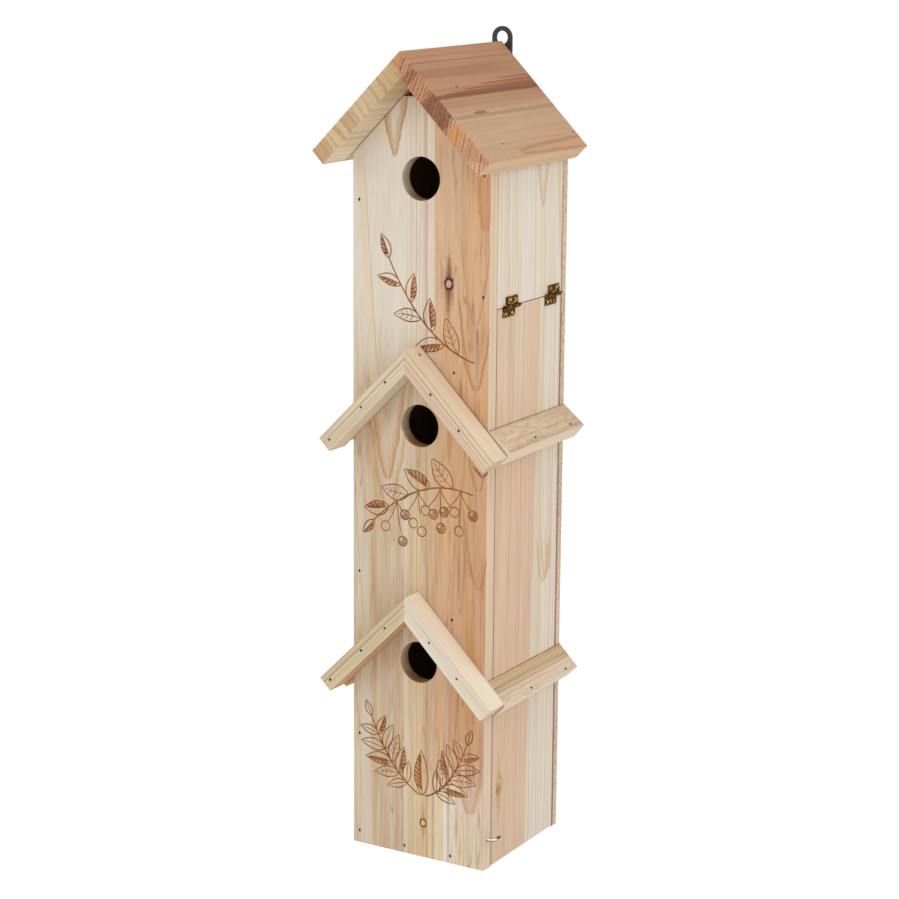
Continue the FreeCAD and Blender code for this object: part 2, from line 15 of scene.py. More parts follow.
import bmesh
import bpy
from bpy.types import Material, Mesh, Node, NodeSocket as Socket, NodeTree, Object
from mathutils import Euler, Matrix, Vector

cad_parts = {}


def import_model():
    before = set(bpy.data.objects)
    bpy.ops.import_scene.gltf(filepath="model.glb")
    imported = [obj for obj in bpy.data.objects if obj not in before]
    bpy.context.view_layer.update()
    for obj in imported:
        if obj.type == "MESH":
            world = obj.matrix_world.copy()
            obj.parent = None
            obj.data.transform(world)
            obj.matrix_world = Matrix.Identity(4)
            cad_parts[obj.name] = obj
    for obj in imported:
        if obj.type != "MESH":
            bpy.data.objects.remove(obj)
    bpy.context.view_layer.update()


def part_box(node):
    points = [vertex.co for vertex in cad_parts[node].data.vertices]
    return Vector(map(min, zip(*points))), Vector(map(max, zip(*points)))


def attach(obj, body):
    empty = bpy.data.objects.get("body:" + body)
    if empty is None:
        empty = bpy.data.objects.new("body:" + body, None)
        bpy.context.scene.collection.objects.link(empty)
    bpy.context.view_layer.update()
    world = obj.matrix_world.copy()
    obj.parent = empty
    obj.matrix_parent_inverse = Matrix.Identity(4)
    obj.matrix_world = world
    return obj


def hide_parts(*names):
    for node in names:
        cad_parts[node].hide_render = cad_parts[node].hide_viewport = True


LOG = logging.getLogger("birdhouse")
MM = 0.001
ROOT_HALF = math.sqrt(0.5)

# Angle of an edge that is eased, size of a facet in a hole, and distances that make corners one or level
SHARP = math.radians(25)
HOLE_FACET = 40 * MM * MM
SAME = 1e-6
LEVEL = 2e-5

# Directions
RIGHTWARD = (1.0, 0.0, 0.0)
BACKWARD = (0.0, 1.0, 0.0)
FORWARD = (0.0, -1.0, 0.0)
UPWARD = (0.0, 0.0, 1.0)
DOWN_SLOPE = (ROOT_HALF, 0.0, -ROOT_HALF)

# Places of the faces and the ridge, in millimetres
FRONT_FACE = -58
SIDE_FACE = 58.5
RIDGE = 615

Colour = tuple[float, float, float, float]
Triple = tuple[float, float, float]
Flat = tuple[float, float]
Value = Any


def paint(red: int, green: int, blue: int) -> Colour:
    """Linear colour of a display colour.

    Args:
        red: Red from 0 to 255.
        green: Green from 0 to 255.
        blue: Blue from 0 to 255.

    Returns:
        The colour as a linear RGBA tuple.
    """

    def linear(part: int) -> float:
        """Linear share of one display channel."""
        share = part / 255
        return share / 12.92 if share <= 0.04045 else ((share + 0.055) / 1.055) ** 2.4

    return (linear(red), linear(green), linear(blue), 1.0)


def mm(*lengths: float) -> tuple[float, ...]:
    """Millimetres as metres."""
    return tuple(length * MM for length in lengths)


class Nodes:
    """Adds nodes to one tree, and links or sets their inputs."""

    def __init__(self, tree: NodeTree) -> None:
        """Keep the tree that the nodes go into."""
        self.tree = tree

    def feed(self, socket: Socket, value: Value) -> None:
        """Link a socket's value, or set it where the value is plain."""
        if isinstance(value, Socket):
            self.tree.links.new(value, socket)
        else:
            socket.default_value = value

    def add(self, kind: str, inputs: dict[Any, Value] | None = None, **settings: Any) -> Node:
        """Add one node.

        Args:
            kind: Type name of the node.
            inputs: Values or sockets by input name or number.
            settings: Properties of the node itself.

        Returns:
            The new node.
        """
        node = self.tree.nodes.new(kind)
        for name, setting in settings.items():
            setattr(node, name, setting)
        for key, value in (inputs or {}).items():
            self.feed(node.inputs[key], value)
        return node

    def math(self, operation: str, *values: Value) -> Socket:
        """Result of a math node."""
        return self.add("ShaderNodeMath", dict(enumerate(values)), operation=operation).outputs[0]

    def times(self, first: Value, second: Value) -> Socket:
        """Product of two numbers."""
        return self.math("MULTIPLY", first, second)

    def strayed(self, base: Value, noise: Value, reach: Value) -> Socket:
        """Number that strays by half a reach either way, as a noise from 0 to 1 says."""
        return self.math("MULTIPLY_ADD", self.math("SUBTRACT", noise, 0.5), reach, base)

    def vector(self, operation: str, *values: Value) -> Socket:
        """Result of a vector math node, a number for LENGTH and DOT_PRODUCT."""
        node = self.add("ShaderNodeVectorMath", dict(enumerate(values)), operation=operation)
        return node.outputs["Value" if operation in ("LENGTH", "DOT_PRODUCT") else "Vector"]

    def part(self, vector: Value, axis: str) -> Socket:
        """One coordinate of a vector."""
        return self.add("ShaderNodeSeparateXYZ", {0: vector}).outputs[axis]

    def joined(self, across: Value, deep: Value, high: Value) -> Socket:
        """Vector of three numbers."""
        return self.add("ShaderNodeCombineXYZ", {0: across, 1: deep, 2: high}).outputs[0]

    def colour(self, factor: Value, first: Value, second: Value, blend: str = "MIX") -> Socket:
        """Mix of two colours."""
        inputs = {0: factor, 6: first, 7: second}
        return self.add("ShaderNodeMix", inputs, data_type="RGBA", blend_type=blend).outputs[2]

    def between(self, factor: Value, first: Value, second: Value) -> Socket:
        """Mix of two numbers."""
        return self.add("ShaderNodeMix", {0: factor, 2: first, 3: second}, data_type="FLOAT").outputs[0]

    def turned(self, factor: Value, first: Value, second: Value) -> Socket:
        """Mix of two vectors."""
        return self.add("ShaderNodeMix", {0: factor, 4: first, 5: second}, data_type="VECTOR").outputs[1]

    def ramp(self, value: Value, low: Value, high: Value, start: float = 0.0, end: float = 1.0) -> Socket:
        """Smooth step from start to end as a value goes from low to high."""
        inputs = {"Value": value, "From Min": low, "From Max": high, "To Min": start, "To Max": end}
        return self.add("ShaderNodeMapRange", inputs, interpolation_type="SMOOTHSTEP").outputs["Result"]

    def noise(self, vector: Value, scale: float, detail: float = 2.0, rough: float = 0.5) -> Socket:
        """Value of a noise texture over a vector."""
        inputs = {"Vector": vector, "Scale": scale, "Detail": detail, "Roughness": rough}
        return self.add("ShaderNodeTexNoise", inputs).outputs[0]

    def drift(self, vector: Value, scale: float, detail: float, reach: Value) -> Socket:
        """Offset by up to half a reach each way, from a noise texture over a vector.

        Args:
            vector: Place on the texture.
            scale: Scale of the texture.
            detail: Detail of the texture.
            reach: Full reach of the offset.

        Returns:
            The offset.
        """
        inputs = {"Vector": vector, "Scale": scale, "Detail": detail}
        cloud = self.add("ShaderNodeTexNoise", inputs).outputs["Color"]
        inputs = {0: self.vector("SUBTRACT", cloud, (0.5, 0.5, 0.5)), "Scale": reach}
        return self.add("ShaderNodeVectorMath", inputs, operation="SCALE").outputs["Vector"]

    def attribute(self, name: str, kind: str) -> Socket:
        """Value of a named attribute in a geometry tree."""
        return self.add("GeometryNodeInputNamedAttribute", {"Name": name}, data_type=kind).outputs[0]

    def placed(self, tree: NodeTree, **inputs: Value) -> Node:
        """Place a node group, with its inputs named by words joined with underscores."""
        node = self.add("ShaderNodeGroup", node_tree=tree)
        for name, value in inputs.items():
            self.feed(node.inputs[name.replace("_", " ").title()], value)
        return node


class Group:
    """Shader node group with named inputs and outputs, built once."""

    KINDS = {"v": "NodeSocketVector", "f": "NodeSocketFloat", "c": "NodeSocketColor"}

    def __init__(self, name: str, inputs: dict[str, str], outputs: dict[str, str]) -> None:
        """Make the tree and its sockets.

        Args:
            name: Name of the group.
            inputs: Kind letter of each input, by name.
            outputs: Kind letter of each output, by name.
        """
        self.tree = bpy.data.node_groups.new(name, "ShaderNodeTree")
        for in_out, sockets in (("INPUT", inputs), ("OUTPUT", outputs)):
            for label, kind in sockets.items():
                self.tree.interface.new_socket(label, in_out=in_out, socket_type=self.KINDS[kind])
        self.nodes = Nodes(self.tree)
        self.entry = self.nodes.add("NodeGroupInput")
        self.exit = self.nodes.add("NodeGroupOutput")

    def __getitem__(self, name: str) -> Socket:
        """Inner socket of a named input."""
        return self.entry.outputs[name]

    def give(self, **outputs: Value) -> NodeTree:
        """Link the outputs and hand over the finished tree."""
        for name, value in outputs.items():
            self.nodes.feed(self.exit.inputs[name.title()], value)
        return self.tree


@cache
def fir_grain_group() -> NodeTree:
    """Growth rings, fibres and slow streaks of sawn fir round a pith line along local Z."""
    group = Group(
        "fir_grain",
        {
            "Vector": "v", "Normal": "v", "Grain": "v", "Ring Width": "f", "Waver": "f", "Push": "f",
            "Contrast": "f", "Streaks": "f", "Pins": "f", "Curl": "f", "End Rings": "f", "Seed": "f",
            "Early": "c", "Late": "c", "Streak": "c", "End": "c"
        },
        {"Color": "c", "Height": "f", "Roughness": "f"}
    )
    n = group.nodes
    seeded = n.vector("ADD", group["Vector"], group["Seed"])
    drift = n.drift(n.vector("MULTIPLY", seeded, (1.0, 1.0, 0.09)), 17.0, 2.0, group["Waver"])
    bent = n.vector("ADD", group["Vector"], drift)
    radius = n.vector("LENGTH", n.vector("MULTIPLY", bent, (1.0, 1.0, 0.0)))
    count = n.math("DIVIDE", n.math("ADD", radius, group["Push"]), group["Ring Width"])
    ruffle = n.noise(n.vector("MULTIPLY", seeded, (1.0, 1.0, 0.03)), 150.0, 2.0)
    count = n.strayed(count, ruffle, 0.16)
    uneven = n.noise(n.joined(n.times(count, 0.41), group["Seed"], 0.0), 1.0, 1.0)
    count = n.strayed(count, uneven, 1.8)
    phase = n.math("FRACT", count)
    ring = n.math("ADD", n.math("FLOOR", count), n.times(group["Seed"], 7.0))
    tone = n.add("ShaderNodeTexWhiteNoise", {"W": ring}, noise_dimensions="1D").outputs["Value"]
    late = n.times(n.ramp(phase, 0.42, 0.95), n.ramp(phase, 0.94, 1.0, 1.0, 0.0))
    late = n.times(n.math("POWER", late, 1.4), n.math("MULTIPLY_ADD", tone, 0.8, 0.2))
    straight = n.vector("MULTIPLY", seeded, (1.0, 1.0, 0.012))
    broad = n.noise(n.vector("MULTIPLY", seeded, (1.0, 1.0, 0.02)), 62.0, 2.0)
    band = n.math("MULTIPLY_ADD", tone, 0.1, n.times(broad, 0.9))
    colour = n.colour(n.times(n.ramp(band, 0.42, 0.66), group["Streaks"]), group["Early"], group["Streak"])
    hue = n.noise(n.vector("ADD", straight, (0.7, 0.2, 0.4)), 120.0, 1.0)
    hue = n.times(n.ramp(hue, 0.32, 0.68, -1.0, 1.0), n.times(group["Pins"], 0.11))
    tint = n.joined(n.math("MULTIPLY_ADD", hue, 0.25, 1.0), 1.0, n.math("SUBTRACT", 1.0, hue))
    colour = n.colour(1.0, colour, tint, "MULTIPLY")
    pins = n.noise(straight, 330.0, 2.0, 0.6)
    dark_pins = n.times(n.ramp(pins, 0.5, 0.72), n.times(group["Pins"], 0.6))
    colour = n.colour(dark_pins, colour, group["Late"])
    pale_pins = n.times(n.ramp(pins, 0.3, 0.5, 1.0, 0.0), n.times(group["Pins"], 0.6))
    colour = n.colour(pale_pins, colour, n.colour(1.0, group["Early"], (1.06, 1.07, 1.08, 1.0), "MULTIPLY"))
    veins = n.noise(n.vector("ADD", straight, (0.3, 0.9, 0.1)), 170.0, 1.0)
    shown = n.noise(n.vector("MULTIPLY", seeded, (0.6, 0.6, 0.1)), 60.0, 1.0)
    thin = n.ramp(n.math("ABSOLUTE", n.math("SUBTRACT", veins, 0.5)), 0.0, 0.028, 1.0, 0.0)
    veins = n.times(thin, n.ramp(shown, 0.42, 0.58))
    deep = n.colour(1.0, group["Late"], (0.84, 0.8, 0.76, 1.0), "MULTIPLY")
    colour = n.colour(n.times(veins, n.times(group["Pins"], 0.7)), colour, deep)
    colour = n.colour(n.times(late, group["Contrast"]), colour, group["Late"])
    flecks = n.noise(n.vector("MULTIPLY", seeded, (1.0, 1.0, 0.25)), 420.0, 3.0, 0.65)
    curl = n.math("MULTIPLY_ADD", n.ramp(flecks, 0.35, 0.65, 0.06, -0.16), group["Curl"], 1.0)
    colour = n.colour(1.0, colour, curl, "MULTIPLY")
    fibre = n.noise(n.vector("MULTIPLY", seeded, (1.0, 1.0, 0.018)), 900.0, 4.0, 0.62)
    shade = n.ramp(fibre, 0.25, 0.75, 0.93, 1.05)
    colour = n.colour(1.0, colour, shade, "MULTIPLY")
    facing = n.math("ABSOLUTE", n.vector("DOT_PRODUCT", group["Normal"], group["Grain"]))
    cut = n.ramp(facing, 0.45, 0.9)
    pores = n.noise(seeded, 700.0, 4.0, 0.75)
    dark_ring = n.times(n.ramp(late, 0.02, 0.42), n.ramp(pores, 0.3, 0.62, 0.3, 1.0))
    burnt = n.colour(1.0, group["Late"], (0.8, 0.72, 0.66, 1.0), "MULTIPLY")
    darker = n.colour(n.times(dark_ring, group["End Rings"]), group["End"], burnt)
    darker = n.colour(n.times(n.ramp(pores, 0.45, 0.7, 0.0, 0.6), group["End Rings"]), darker, burnt)
    colour = n.colour(n.times(cut, 0.9), colour, darker)
    height = n.math("MULTIPLY_ADD", late, 0.5, n.times(fibre, 0.6))
    height = n.math("MULTIPLY_ADD", n.times(cut, pores), 1.4, height)
    roughness = n.math("MULTIPLY_ADD", late, -0.1, n.ramp(fibre, 0.2, 0.8, 0.66, 0.8))
    return group.give(color=colour, height=height, roughness=roughness)


@cache
def knot_group() -> NodeTree:
    """Knot in a board: its heart and dark rim, the stain along the grain, and the push on the rings."""
    group = Group(
        "knot", {"Vector": "v", "Centre": "v", "Squeeze": "v", "Radius": "f"},
        {"Heart": "f", "Rim": "f", "Stain": "f", "Push": "f"}
    )
    n = group.nodes
    away = n.vector("SUBTRACT", group["Vector"], group["Centre"])
    ragged = n.drift(away, 420.0, 3.0, n.times(group["Radius"], 0.7))
    rough_away = n.vector("MULTIPLY", n.vector("ADD", away, ragged), group["Squeeze"])
    share = n.math("DIVIDE", n.vector("LENGTH", rough_away), group["Radius"])
    heart = n.ramp(share, 0.5, 0.62, 1.0, 0.0)
    rim = n.times(n.ramp(share, 0.45, 0.6), n.ramp(share, 0.8, 1.1, 1.0, 0.0))
    spread = n.vector("ABSOLUTE", n.vector("MULTIPLY", rough_away, (1.1, 1.1, 0.2)))
    reach = n.math("ADD", n.math("ADD", n.part(spread, "X"), n.part(spread, "Y")), n.part(spread, "Z"))
    stain = n.math("POWER", n.ramp(n.math("DIVIDE", reach, group["Radius"]), 0.25, 1.7, 1.0, 0.0), 1.6)
    push = n.times(group["Radius"], n.ramp(share, 0.2, 4.5, 1.6, 0.0))
    return group.give(heart=heart, rim=rim, stain=stain, push=push)


@cache
def flame_group() -> NodeTree:
    """Pointed flame of darker wood, where a cut runs out of one growth ring."""
    group = Group(
        "flame",
        {
            "Vector": "v", "Tip": "v", "Side": "v", "Along": "v", "Half Width": "f", "Length": "f",
            "Blunt": "f", "Limb": "f", "Stop": "f", "Normal": "v", "Soft": "f", "Reverse": "f"
        },
        {"Fill": "f", "Edge": "f"}
    )
    n = group.nodes
    square = n.vector("CROSS_PRODUCT", group["Side"], group["Along"])
    turned = n.vector("DOT_PRODUCT", group["Normal"], square)
    facing = n.ramp(n.math("MAXIMUM", turned, n.times(turned, group["Reverse"])), 0.5, 0.8)
    away = n.vector("SUBTRACT", group["Vector"], group["Tip"])
    along = n.math("DIVIDE", n.vector("DOT_PRODUCT", away, group["Along"]), group["Length"])
    wander = n.noise(n.joined(along, group["Length"], 0.0), 3.0, 3.0)
    aside = n.vector("DOT_PRODUCT", away, group["Side"])
    swerve = n.times(group["Half Width"], 0.4)
    aside = n.strayed(aside, wander, swerve)
    opened = n.math("POWER", n.math("MAXIMUM", along, 0.0001), group["Blunt"])
    width = n.times(opened, group["Half Width"])
    off = n.math("DIVIDE", n.math("SUBTRACT", n.math("ABSOLUTE", aside), width), group["Half Width"])
    strands = n.joined(n.times(aside, 900.0), n.times(along, 3.0), 0.0)
    brushed = n.noise(strands, 1.0, 3.0)
    stray = n.times(n.math("SUBTRACT", brushed, 0.5), group["Soft"])
    off = n.math("MULTIPLY_ADD", stray, 2.0, off)
    shown = n.times(n.ramp(along, 0.0, 0.05), facing)
    ended = n.math("ADD", n.math("DIVIDE", along, group["Stop"]), stray)
    shown = n.times(shown, n.ramp(ended, 0.55, 1.0, 1.0, 0.0))
    inner = n.ramp(n.math("ADD", off, group["Limb"]), -0.25, 0.15)
    hem = n.times(group["Soft"], -1.3)
    fill = n.times(n.times(n.ramp(off, hem, group["Soft"], 1.0, 0.0), inner), shown)
    rim = n.ramp(n.math("ABSOLUTE", off), 0.0, n.math("MAXIMUM", group["Soft"], 0.16), 1.0, 0.0)
    edge = n.times(rim, shown)
    return group.give(fill=fill, edge=edge)


@cache
def handling_group() -> NodeTree:
    """Faint soil from handling, and the slightly paler line on an eased arris, partly rubbed wear and partly
    painted highlight.
    """
    group = Group(
        "handling", {"Vector": "v", "Arris": "f", "Color": "c", "Rubbed": "c", "Soil": "f"}, {"Color": "c"}
    )
    n = group.nodes
    cloud = n.noise(group["Vector"], 14.0, 4.0, 0.6)
    soiled = n.times(n.ramp(cloud, 0.48, 0.78), group["Soil"])
    colour = n.colour(soiled, group["Color"], (0.84, 0.78, 0.72, 1.0), "MULTIPLY")
    broken = n.noise(group["Vector"], 210.0, 3.0)
    rubbed = n.times(group["Arris"], n.ramp(broken, 0.4, 0.7, 0.0, 0.3))
    return group.give(color=n.colour(rubbed, colour, group["Rubbed"]))


@cache
def crust_group() -> NodeTree:
    """Rough, stained saw edge with dark pits."""
    group = Group(
        "crust", {"Vector": "v", "Normal": "v", "Color": "c", "Stain": "c"}, {"Color": "c", "Height": "f"}
    )
    n = group.nodes
    turned = n.ramp(n.math("ABSOLUTE", n.part(group["Normal"], "X")), 0.6, 0.9)
    pits = n.noise(n.vector("MULTIPLY", group["Vector"], (1.0, 1.0, 0.4)), 700.0, 4.0, 0.7)
    patches = n.noise(n.vector("MULTIPLY", group["Vector"], (1.0, 1.0, 0.3)), 70.0, 2.0)
    depth = n.times(n.ramp(pits, 0.42, 0.62), n.ramp(patches, 0.3, 0.7, 0.35, 1.0))
    stained = n.times(turned, n.times(depth, 0.85))
    colour = n.colour(stained, group["Color"], group["Stain"])
    return group.give(color=colour, height=n.times(stained, -1.0))


def blank_material(name: str) -> tuple[Material, Nodes, Node]:
    """Empty material with a Principled shader on its output.

    Args:
        name: Name of the material.

    Returns:
        The material, a node adder for it, and its shader node.
    """
    material = bpy.data.materials.new(name)
    material.use_nodes = True
    material.node_tree.nodes.clear()
    nodes = Nodes(material.node_tree)
    shader = nodes.add("ShaderNodeBsdfPrincipled")
    nodes.add("ShaderNodeOutputMaterial", {"Surface": shader.outputs[0]})
    return material, nodes, shader


class Grain(Enum):
    """Which way a board's grain runs, as the turn of local Z in degrees."""

    UP = (0.0, 0.0, 0.0)
    BACK = (-90.0, 0.0, 0.0)
    ACROSS = (0.0, 90.0, 0.0)
    LEFT_SLOPE = (0.0, 45.0, 0.0)
    RIGHT_SLOPE = (0.0, -45.0, 0.0)

    @property
    def direction(self) -> Triple:
        """Direction of the grain."""
        turn = Euler([math.radians(angle) for angle in self.value])
        return tuple(turn.to_matrix() @ Vector(UPWARD))


@dataclass(frozen=True)
class Fade:
    """Slow change of tone across or along a stave: full strength from the far place on."""

    axis: str
    start: float
    end: float
    tint: Triple


@dataclass(frozen=True)
class Stave:
    """One sawn stave of a board: where its pith lay, its rings and its colours."""

    pith: Triple
    early: Colour
    late: Colour
    streak: Colour
    lean: Triple = (0.0, 0.0, 0.0)
    ring_width: float = 0.0045
    seed: float = 0.0
    contrast: float = 0.7
    streaks: float = 0.7
    pins: float = 0.5
    curl: float = 0.0
    grows: Triple = (0.0, 1.0, 1.0)
    fades: tuple[Fade, ...] = ()


@dataclass(frozen=True)
class Seam:
    """Glue line between two staves: the axis it divides, its place at the foot, slant and blur."""

    axis: str
    at: float
    slant: float = 0.0
    blur: float = 0.00005


@dataclass(frozen=True)
class Knot:
    """Knot through a board."""

    centre: Triple
    radius: float
    squeeze: Triple
    heart: Colour = paint(150, 104, 70)
    rim: Colour = paint(88, 52, 30)
    stain: Colour = paint(150, 94, 58)
    strength: float = 0.9


@dataclass(frozen=True)
class Flame:
    """Mark on one face of a board: a pointed flame, or a straight line where blunt is 0."""

    tip: Triple
    along: Triple
    half_width: float
    length: float
    tint: Colour
    edge: Colour
    side: Triple = RIGHTWARD
    blunt: float = 0.8
    limb: float = 9.0
    stop: float = 99.0
    soft: float = 0.14
    both: bool = True
    strength: float = 0.6


@dataclass(frozen=True)
class Band:
    """Upright band of another tone: its place and half width in millimetres."""

    at: float
    half_width: float
    tint: Colour
    strength: float = 0.6

    def stops(self, low: float, high: float) -> list[tuple[float, Colour, float]]:
        """Places from 0 to 1 between two limits, with the tint and how much it covers there."""
        hem = self.half_width * (0.45 if self.half_width > 1.0 else 1.0)
        places = sorted({-self.half_width, hem - self.half_width, self.half_width - hem, self.half_width})
        return [
            (
                (self.at + off - low) / (high - low), self.tint,
                0.0 if abs(off) == self.half_width else self.strength
            )
            for off in places
        ]


@dataclass(frozen=True)
class BandSet:
    """Bands side by side on the front, full between a foot and a height, and faded out at a top."""

    bands: tuple[Band, ...]
    heights: tuple[float, ...]
    lean: float = 0.0
    limits: Flat = (-62.0, 20.0)

    def laid(self, n: Nodes, spot: Socket, normal: Socket, colour: Socket) -> Socket:
        """Lay the bands over a colour.

        Args:
            n: Adder of the material.
            spot: Place on the board.
            normal: Direction that the surface faces.
            colour: Colour of the wood.

        Returns:
            The banded colour.
        """
        foot, full, top = self.heights
        low, high = self.limits
        tall = n.part(spot, "Z")
        sway = n.noise(n.vector("MULTIPLY", spot, (1.0, 1.0, 0.1)), 110.0, 2.0)
        across = n.strayed(n.part(spot, "X"), sway, 0.003)
        across = n.math("MULTIPLY_ADD", n.math("SUBTRACT", tall, (foot + top) / 2), -self.lean, across)
        ramp = n.add("ShaderNodeValToRGB", {"Fac": n.ramp(across, low * MM, high * MM)})
        elements = ramp.color_ramp.elements
        elements[0].color = elements[1].color = (*self.bands[0].tint[:3], 0.0)
        for band in self.bands:
            for place, tint, cover in band.stops(low, high):
                elements.new(place).color = (*tint[:3], cover)
        shown = n.times(n.ramp(tall, foot, foot + 0.03), n.ramp(tall, full, top, 1.0, 0.0))
        shown = n.times(shown, n.ramp(n.math("ABSOLUTE", n.part(normal, "Y")), 0.5, 0.8))
        return n.colour(n.times(ramp.outputs["Alpha"], shown), colour, ramp.outputs["Color"])


@dataclass(frozen=True)
class FirFinish:
    """Planed fir: its staves, glue lines, bands, knots and flames."""

    name: str
    grain: Grain
    staves: tuple[Stave, ...]
    seams: tuple[Seam, ...] = ()
    bands: tuple[BandSet, ...] = ()
    knots: tuple[Knot, ...] = ()
    flames: tuple[Flame, ...] = ()
    end: Colour = paint(176, 138, 100)
    end_rings: float = 0.6
    # Paler colour of the eased arrises: rubbed wear and painted highlight.
    rubbed: Colour = paint(232, 214, 184)
    crust: Colour | None = None
    waver: float = 0.012
    soil: float = 0.2
    gloss: float = 0.28
    bump: float = 0.35
    relief: float = 0.0002

    def material(self) -> Material:
        """Build the finish as a material.

        Returns:
            The new material.
        """
        material, n, shader = blank_material(self.name)
        place = n.add("ShaderNodeTexCoord")
        spot = place.outputs["Object"]
        shares = self._stave_shares(n, spot)
        knots = [
            n.placed(knot_group(), vector=spot, centre=knot.centre, squeeze=knot.squeeze, radius=knot.radius)
            for knot in self.knots
        ]
        push: Value = 0.0
        for mark in knots:
            push = n.math("ADD", push, mark.outputs["Push"])
        high = n.part(spot, "Z")
        growths = [n.ramp(high, stave.grows[0], stave.grows[1], stave.grows[2], 1.0) for stave in self.staves]
        lined = self._mixed(shares, growths, n.between)
        picks: dict[str, Value] = {}
        for label in ("ring_width", "contrast", "streaks", "pins", "curl", "seed", "early", "late", "streak"):
            mixer = n.colour if label in ("early", "late", "streak") else n.between
            picks[label] = self._mixed(shares, [getattr(stave, label) for stave in self.staves], mixer)
            if label in ("contrast", "streaks", "pins"):
                picks[label] = n.times(picks[label], lined)
        wood = n.placed(
            fir_grain_group(),
            vector=self._mixed(shares, [self._local(n, spot, stave) for stave in self.staves], n.turned),
            normal=place.outputs["Normal"], grain=self.grain.direction, push=push, waver=self.waver,
            end=self.end, end_rings=self.end_rings, **picks
        )
        colour = wood.outputs["Color"]
        if any(stave.fades for stave in self.staves):
            tones = [self._tone(n, spot, stave) for stave in self.staves]
            colour = n.colour(1.0, colour, self._mixed(shares, tones, n.colour), "MULTIPLY")
        colour = self._marked(n, spot, place.outputs["Normal"], colour, knots)
        height = wood.outputs["Height"]
        if self.crust:
            crust = n.placed(
                crust_group(), vector=spot, normal=place.outputs["Normal"], color=colour, stain=self.crust
            )
            colour = crust.outputs["Color"]
            height = n.math("ADD", height, crust.outputs["Height"])
        # The eased arrises are painted paler: rubbed wear and painted highlight.
        arris = n.add("ShaderNodeAttribute", attribute_name="arris").outputs["Fac"]
        handled = n.placed(
            handling_group(), vector=spot, arris=arris, color=colour, rubbed=self.rubbed, soil=self.soil
        )
        n.feed(shader.inputs["Base Color"], handled.outputs["Color"])
        n.feed(shader.inputs["Roughness"], wood.outputs["Roughness"])
        shader.inputs["Specular IOR Level"].default_value = self.gloss
        bump = n.add("ShaderNodeBump", {"Strength": self.bump, "Distance": self.relief, "Height": height})
        n.feed(shader.inputs["Normal"], bump.outputs[0])
        return material

    def _marked(self, n: Nodes, spot: Socket, normal: Socket, colour: Socket, knots: list[Node]) -> Socket:
        """Colour with the flames and knots laid over it.

        Args:
            n: Adder of the material.
            spot: Place on the board.
            normal: Direction that the surface faces.
            colour: Colour of the wood.
            knots: Placed knot groups, in the order of the finish's knots.

        Returns:
            The marked colour.
        """
        for bands in self.bands:
            colour = bands.laid(n, spot, normal, colour)
        shape = ("tip", "side", "along", "half_width", "length", "blunt", "limb", "stop", "soft")
        for flame in self.flames:
            mark = n.placed(
                flame_group(), vector=spot, normal=normal, reverse=-1.0 if flame.both else 0.0,
                **{label: getattr(flame, label) for label in shape}
            )
            colour = n.colour(n.times(mark.outputs["Fill"], flame.strength), colour, flame.tint)
            colour = n.colour(n.times(mark.outputs["Edge"], flame.strength), colour, flame.edge)
        for knot, mark in zip(self.knots, knots):
            for label, tint, share in (
                ("Stain", knot.stain, 0.9), ("Heart", knot.heart, 0.95), ("Rim", knot.rim, 0.95)
            ):
                colour = n.colour(n.times(mark.outputs[label], share * knot.strength), colour, tint)
        return colour

    def _tone(self, n: Nodes, spot: Socket, stave: Stave) -> Value:
        """Product of a stave's slow changes of tone."""
        tone: Value = (1.0, 1.0, 1.0, 1.0)
        for fade in stave.fades:
            share = n.ramp(n.part(spot, fade.axis), fade.start, fade.end)
            tone = n.colour(share, tone, (*fade.tint, 1.0), "MULTIPLY")
        return tone

    def _local(self, n: Nodes, spot: Socket, stave: Stave) -> Socket:
        """Place relative to a stave's pith, with Z along its grain."""
        turn = tuple(math.radians(base + lean) for base, lean in zip(self.grain.value, stave.lean))
        inputs = {"Vector": spot, "Location": stave.pith, "Rotation": turn}
        return n.add("ShaderNodeMapping", inputs, vector_type="TEXTURE").outputs[0]

    def _stave_shares(self, n: Nodes, spot: Socket) -> list[Socket]:
        """Mask of each glue line, 1 past the line."""
        shares = []
        for seam in self.seams:
            line = n.math("MULTIPLY_ADD", n.part(spot, "Z"), seam.slant, seam.at)
            past = n.math("SUBTRACT", n.part(spot, seam.axis), line)
            shares.append(n.ramp(past, -seam.blur, seam.blur))
        return shares

    @staticmethod
    def _mixed(shares: list[Socket], picks: list[Value], mixer: Callable[..., Socket]) -> Value:
        """Pick by stave: the first value, replaced past each glue line."""
        picked = picks[0]
        for share, following in zip(shares, picks[1:]):
            picked = mixer(share, picked, following)
        return picked


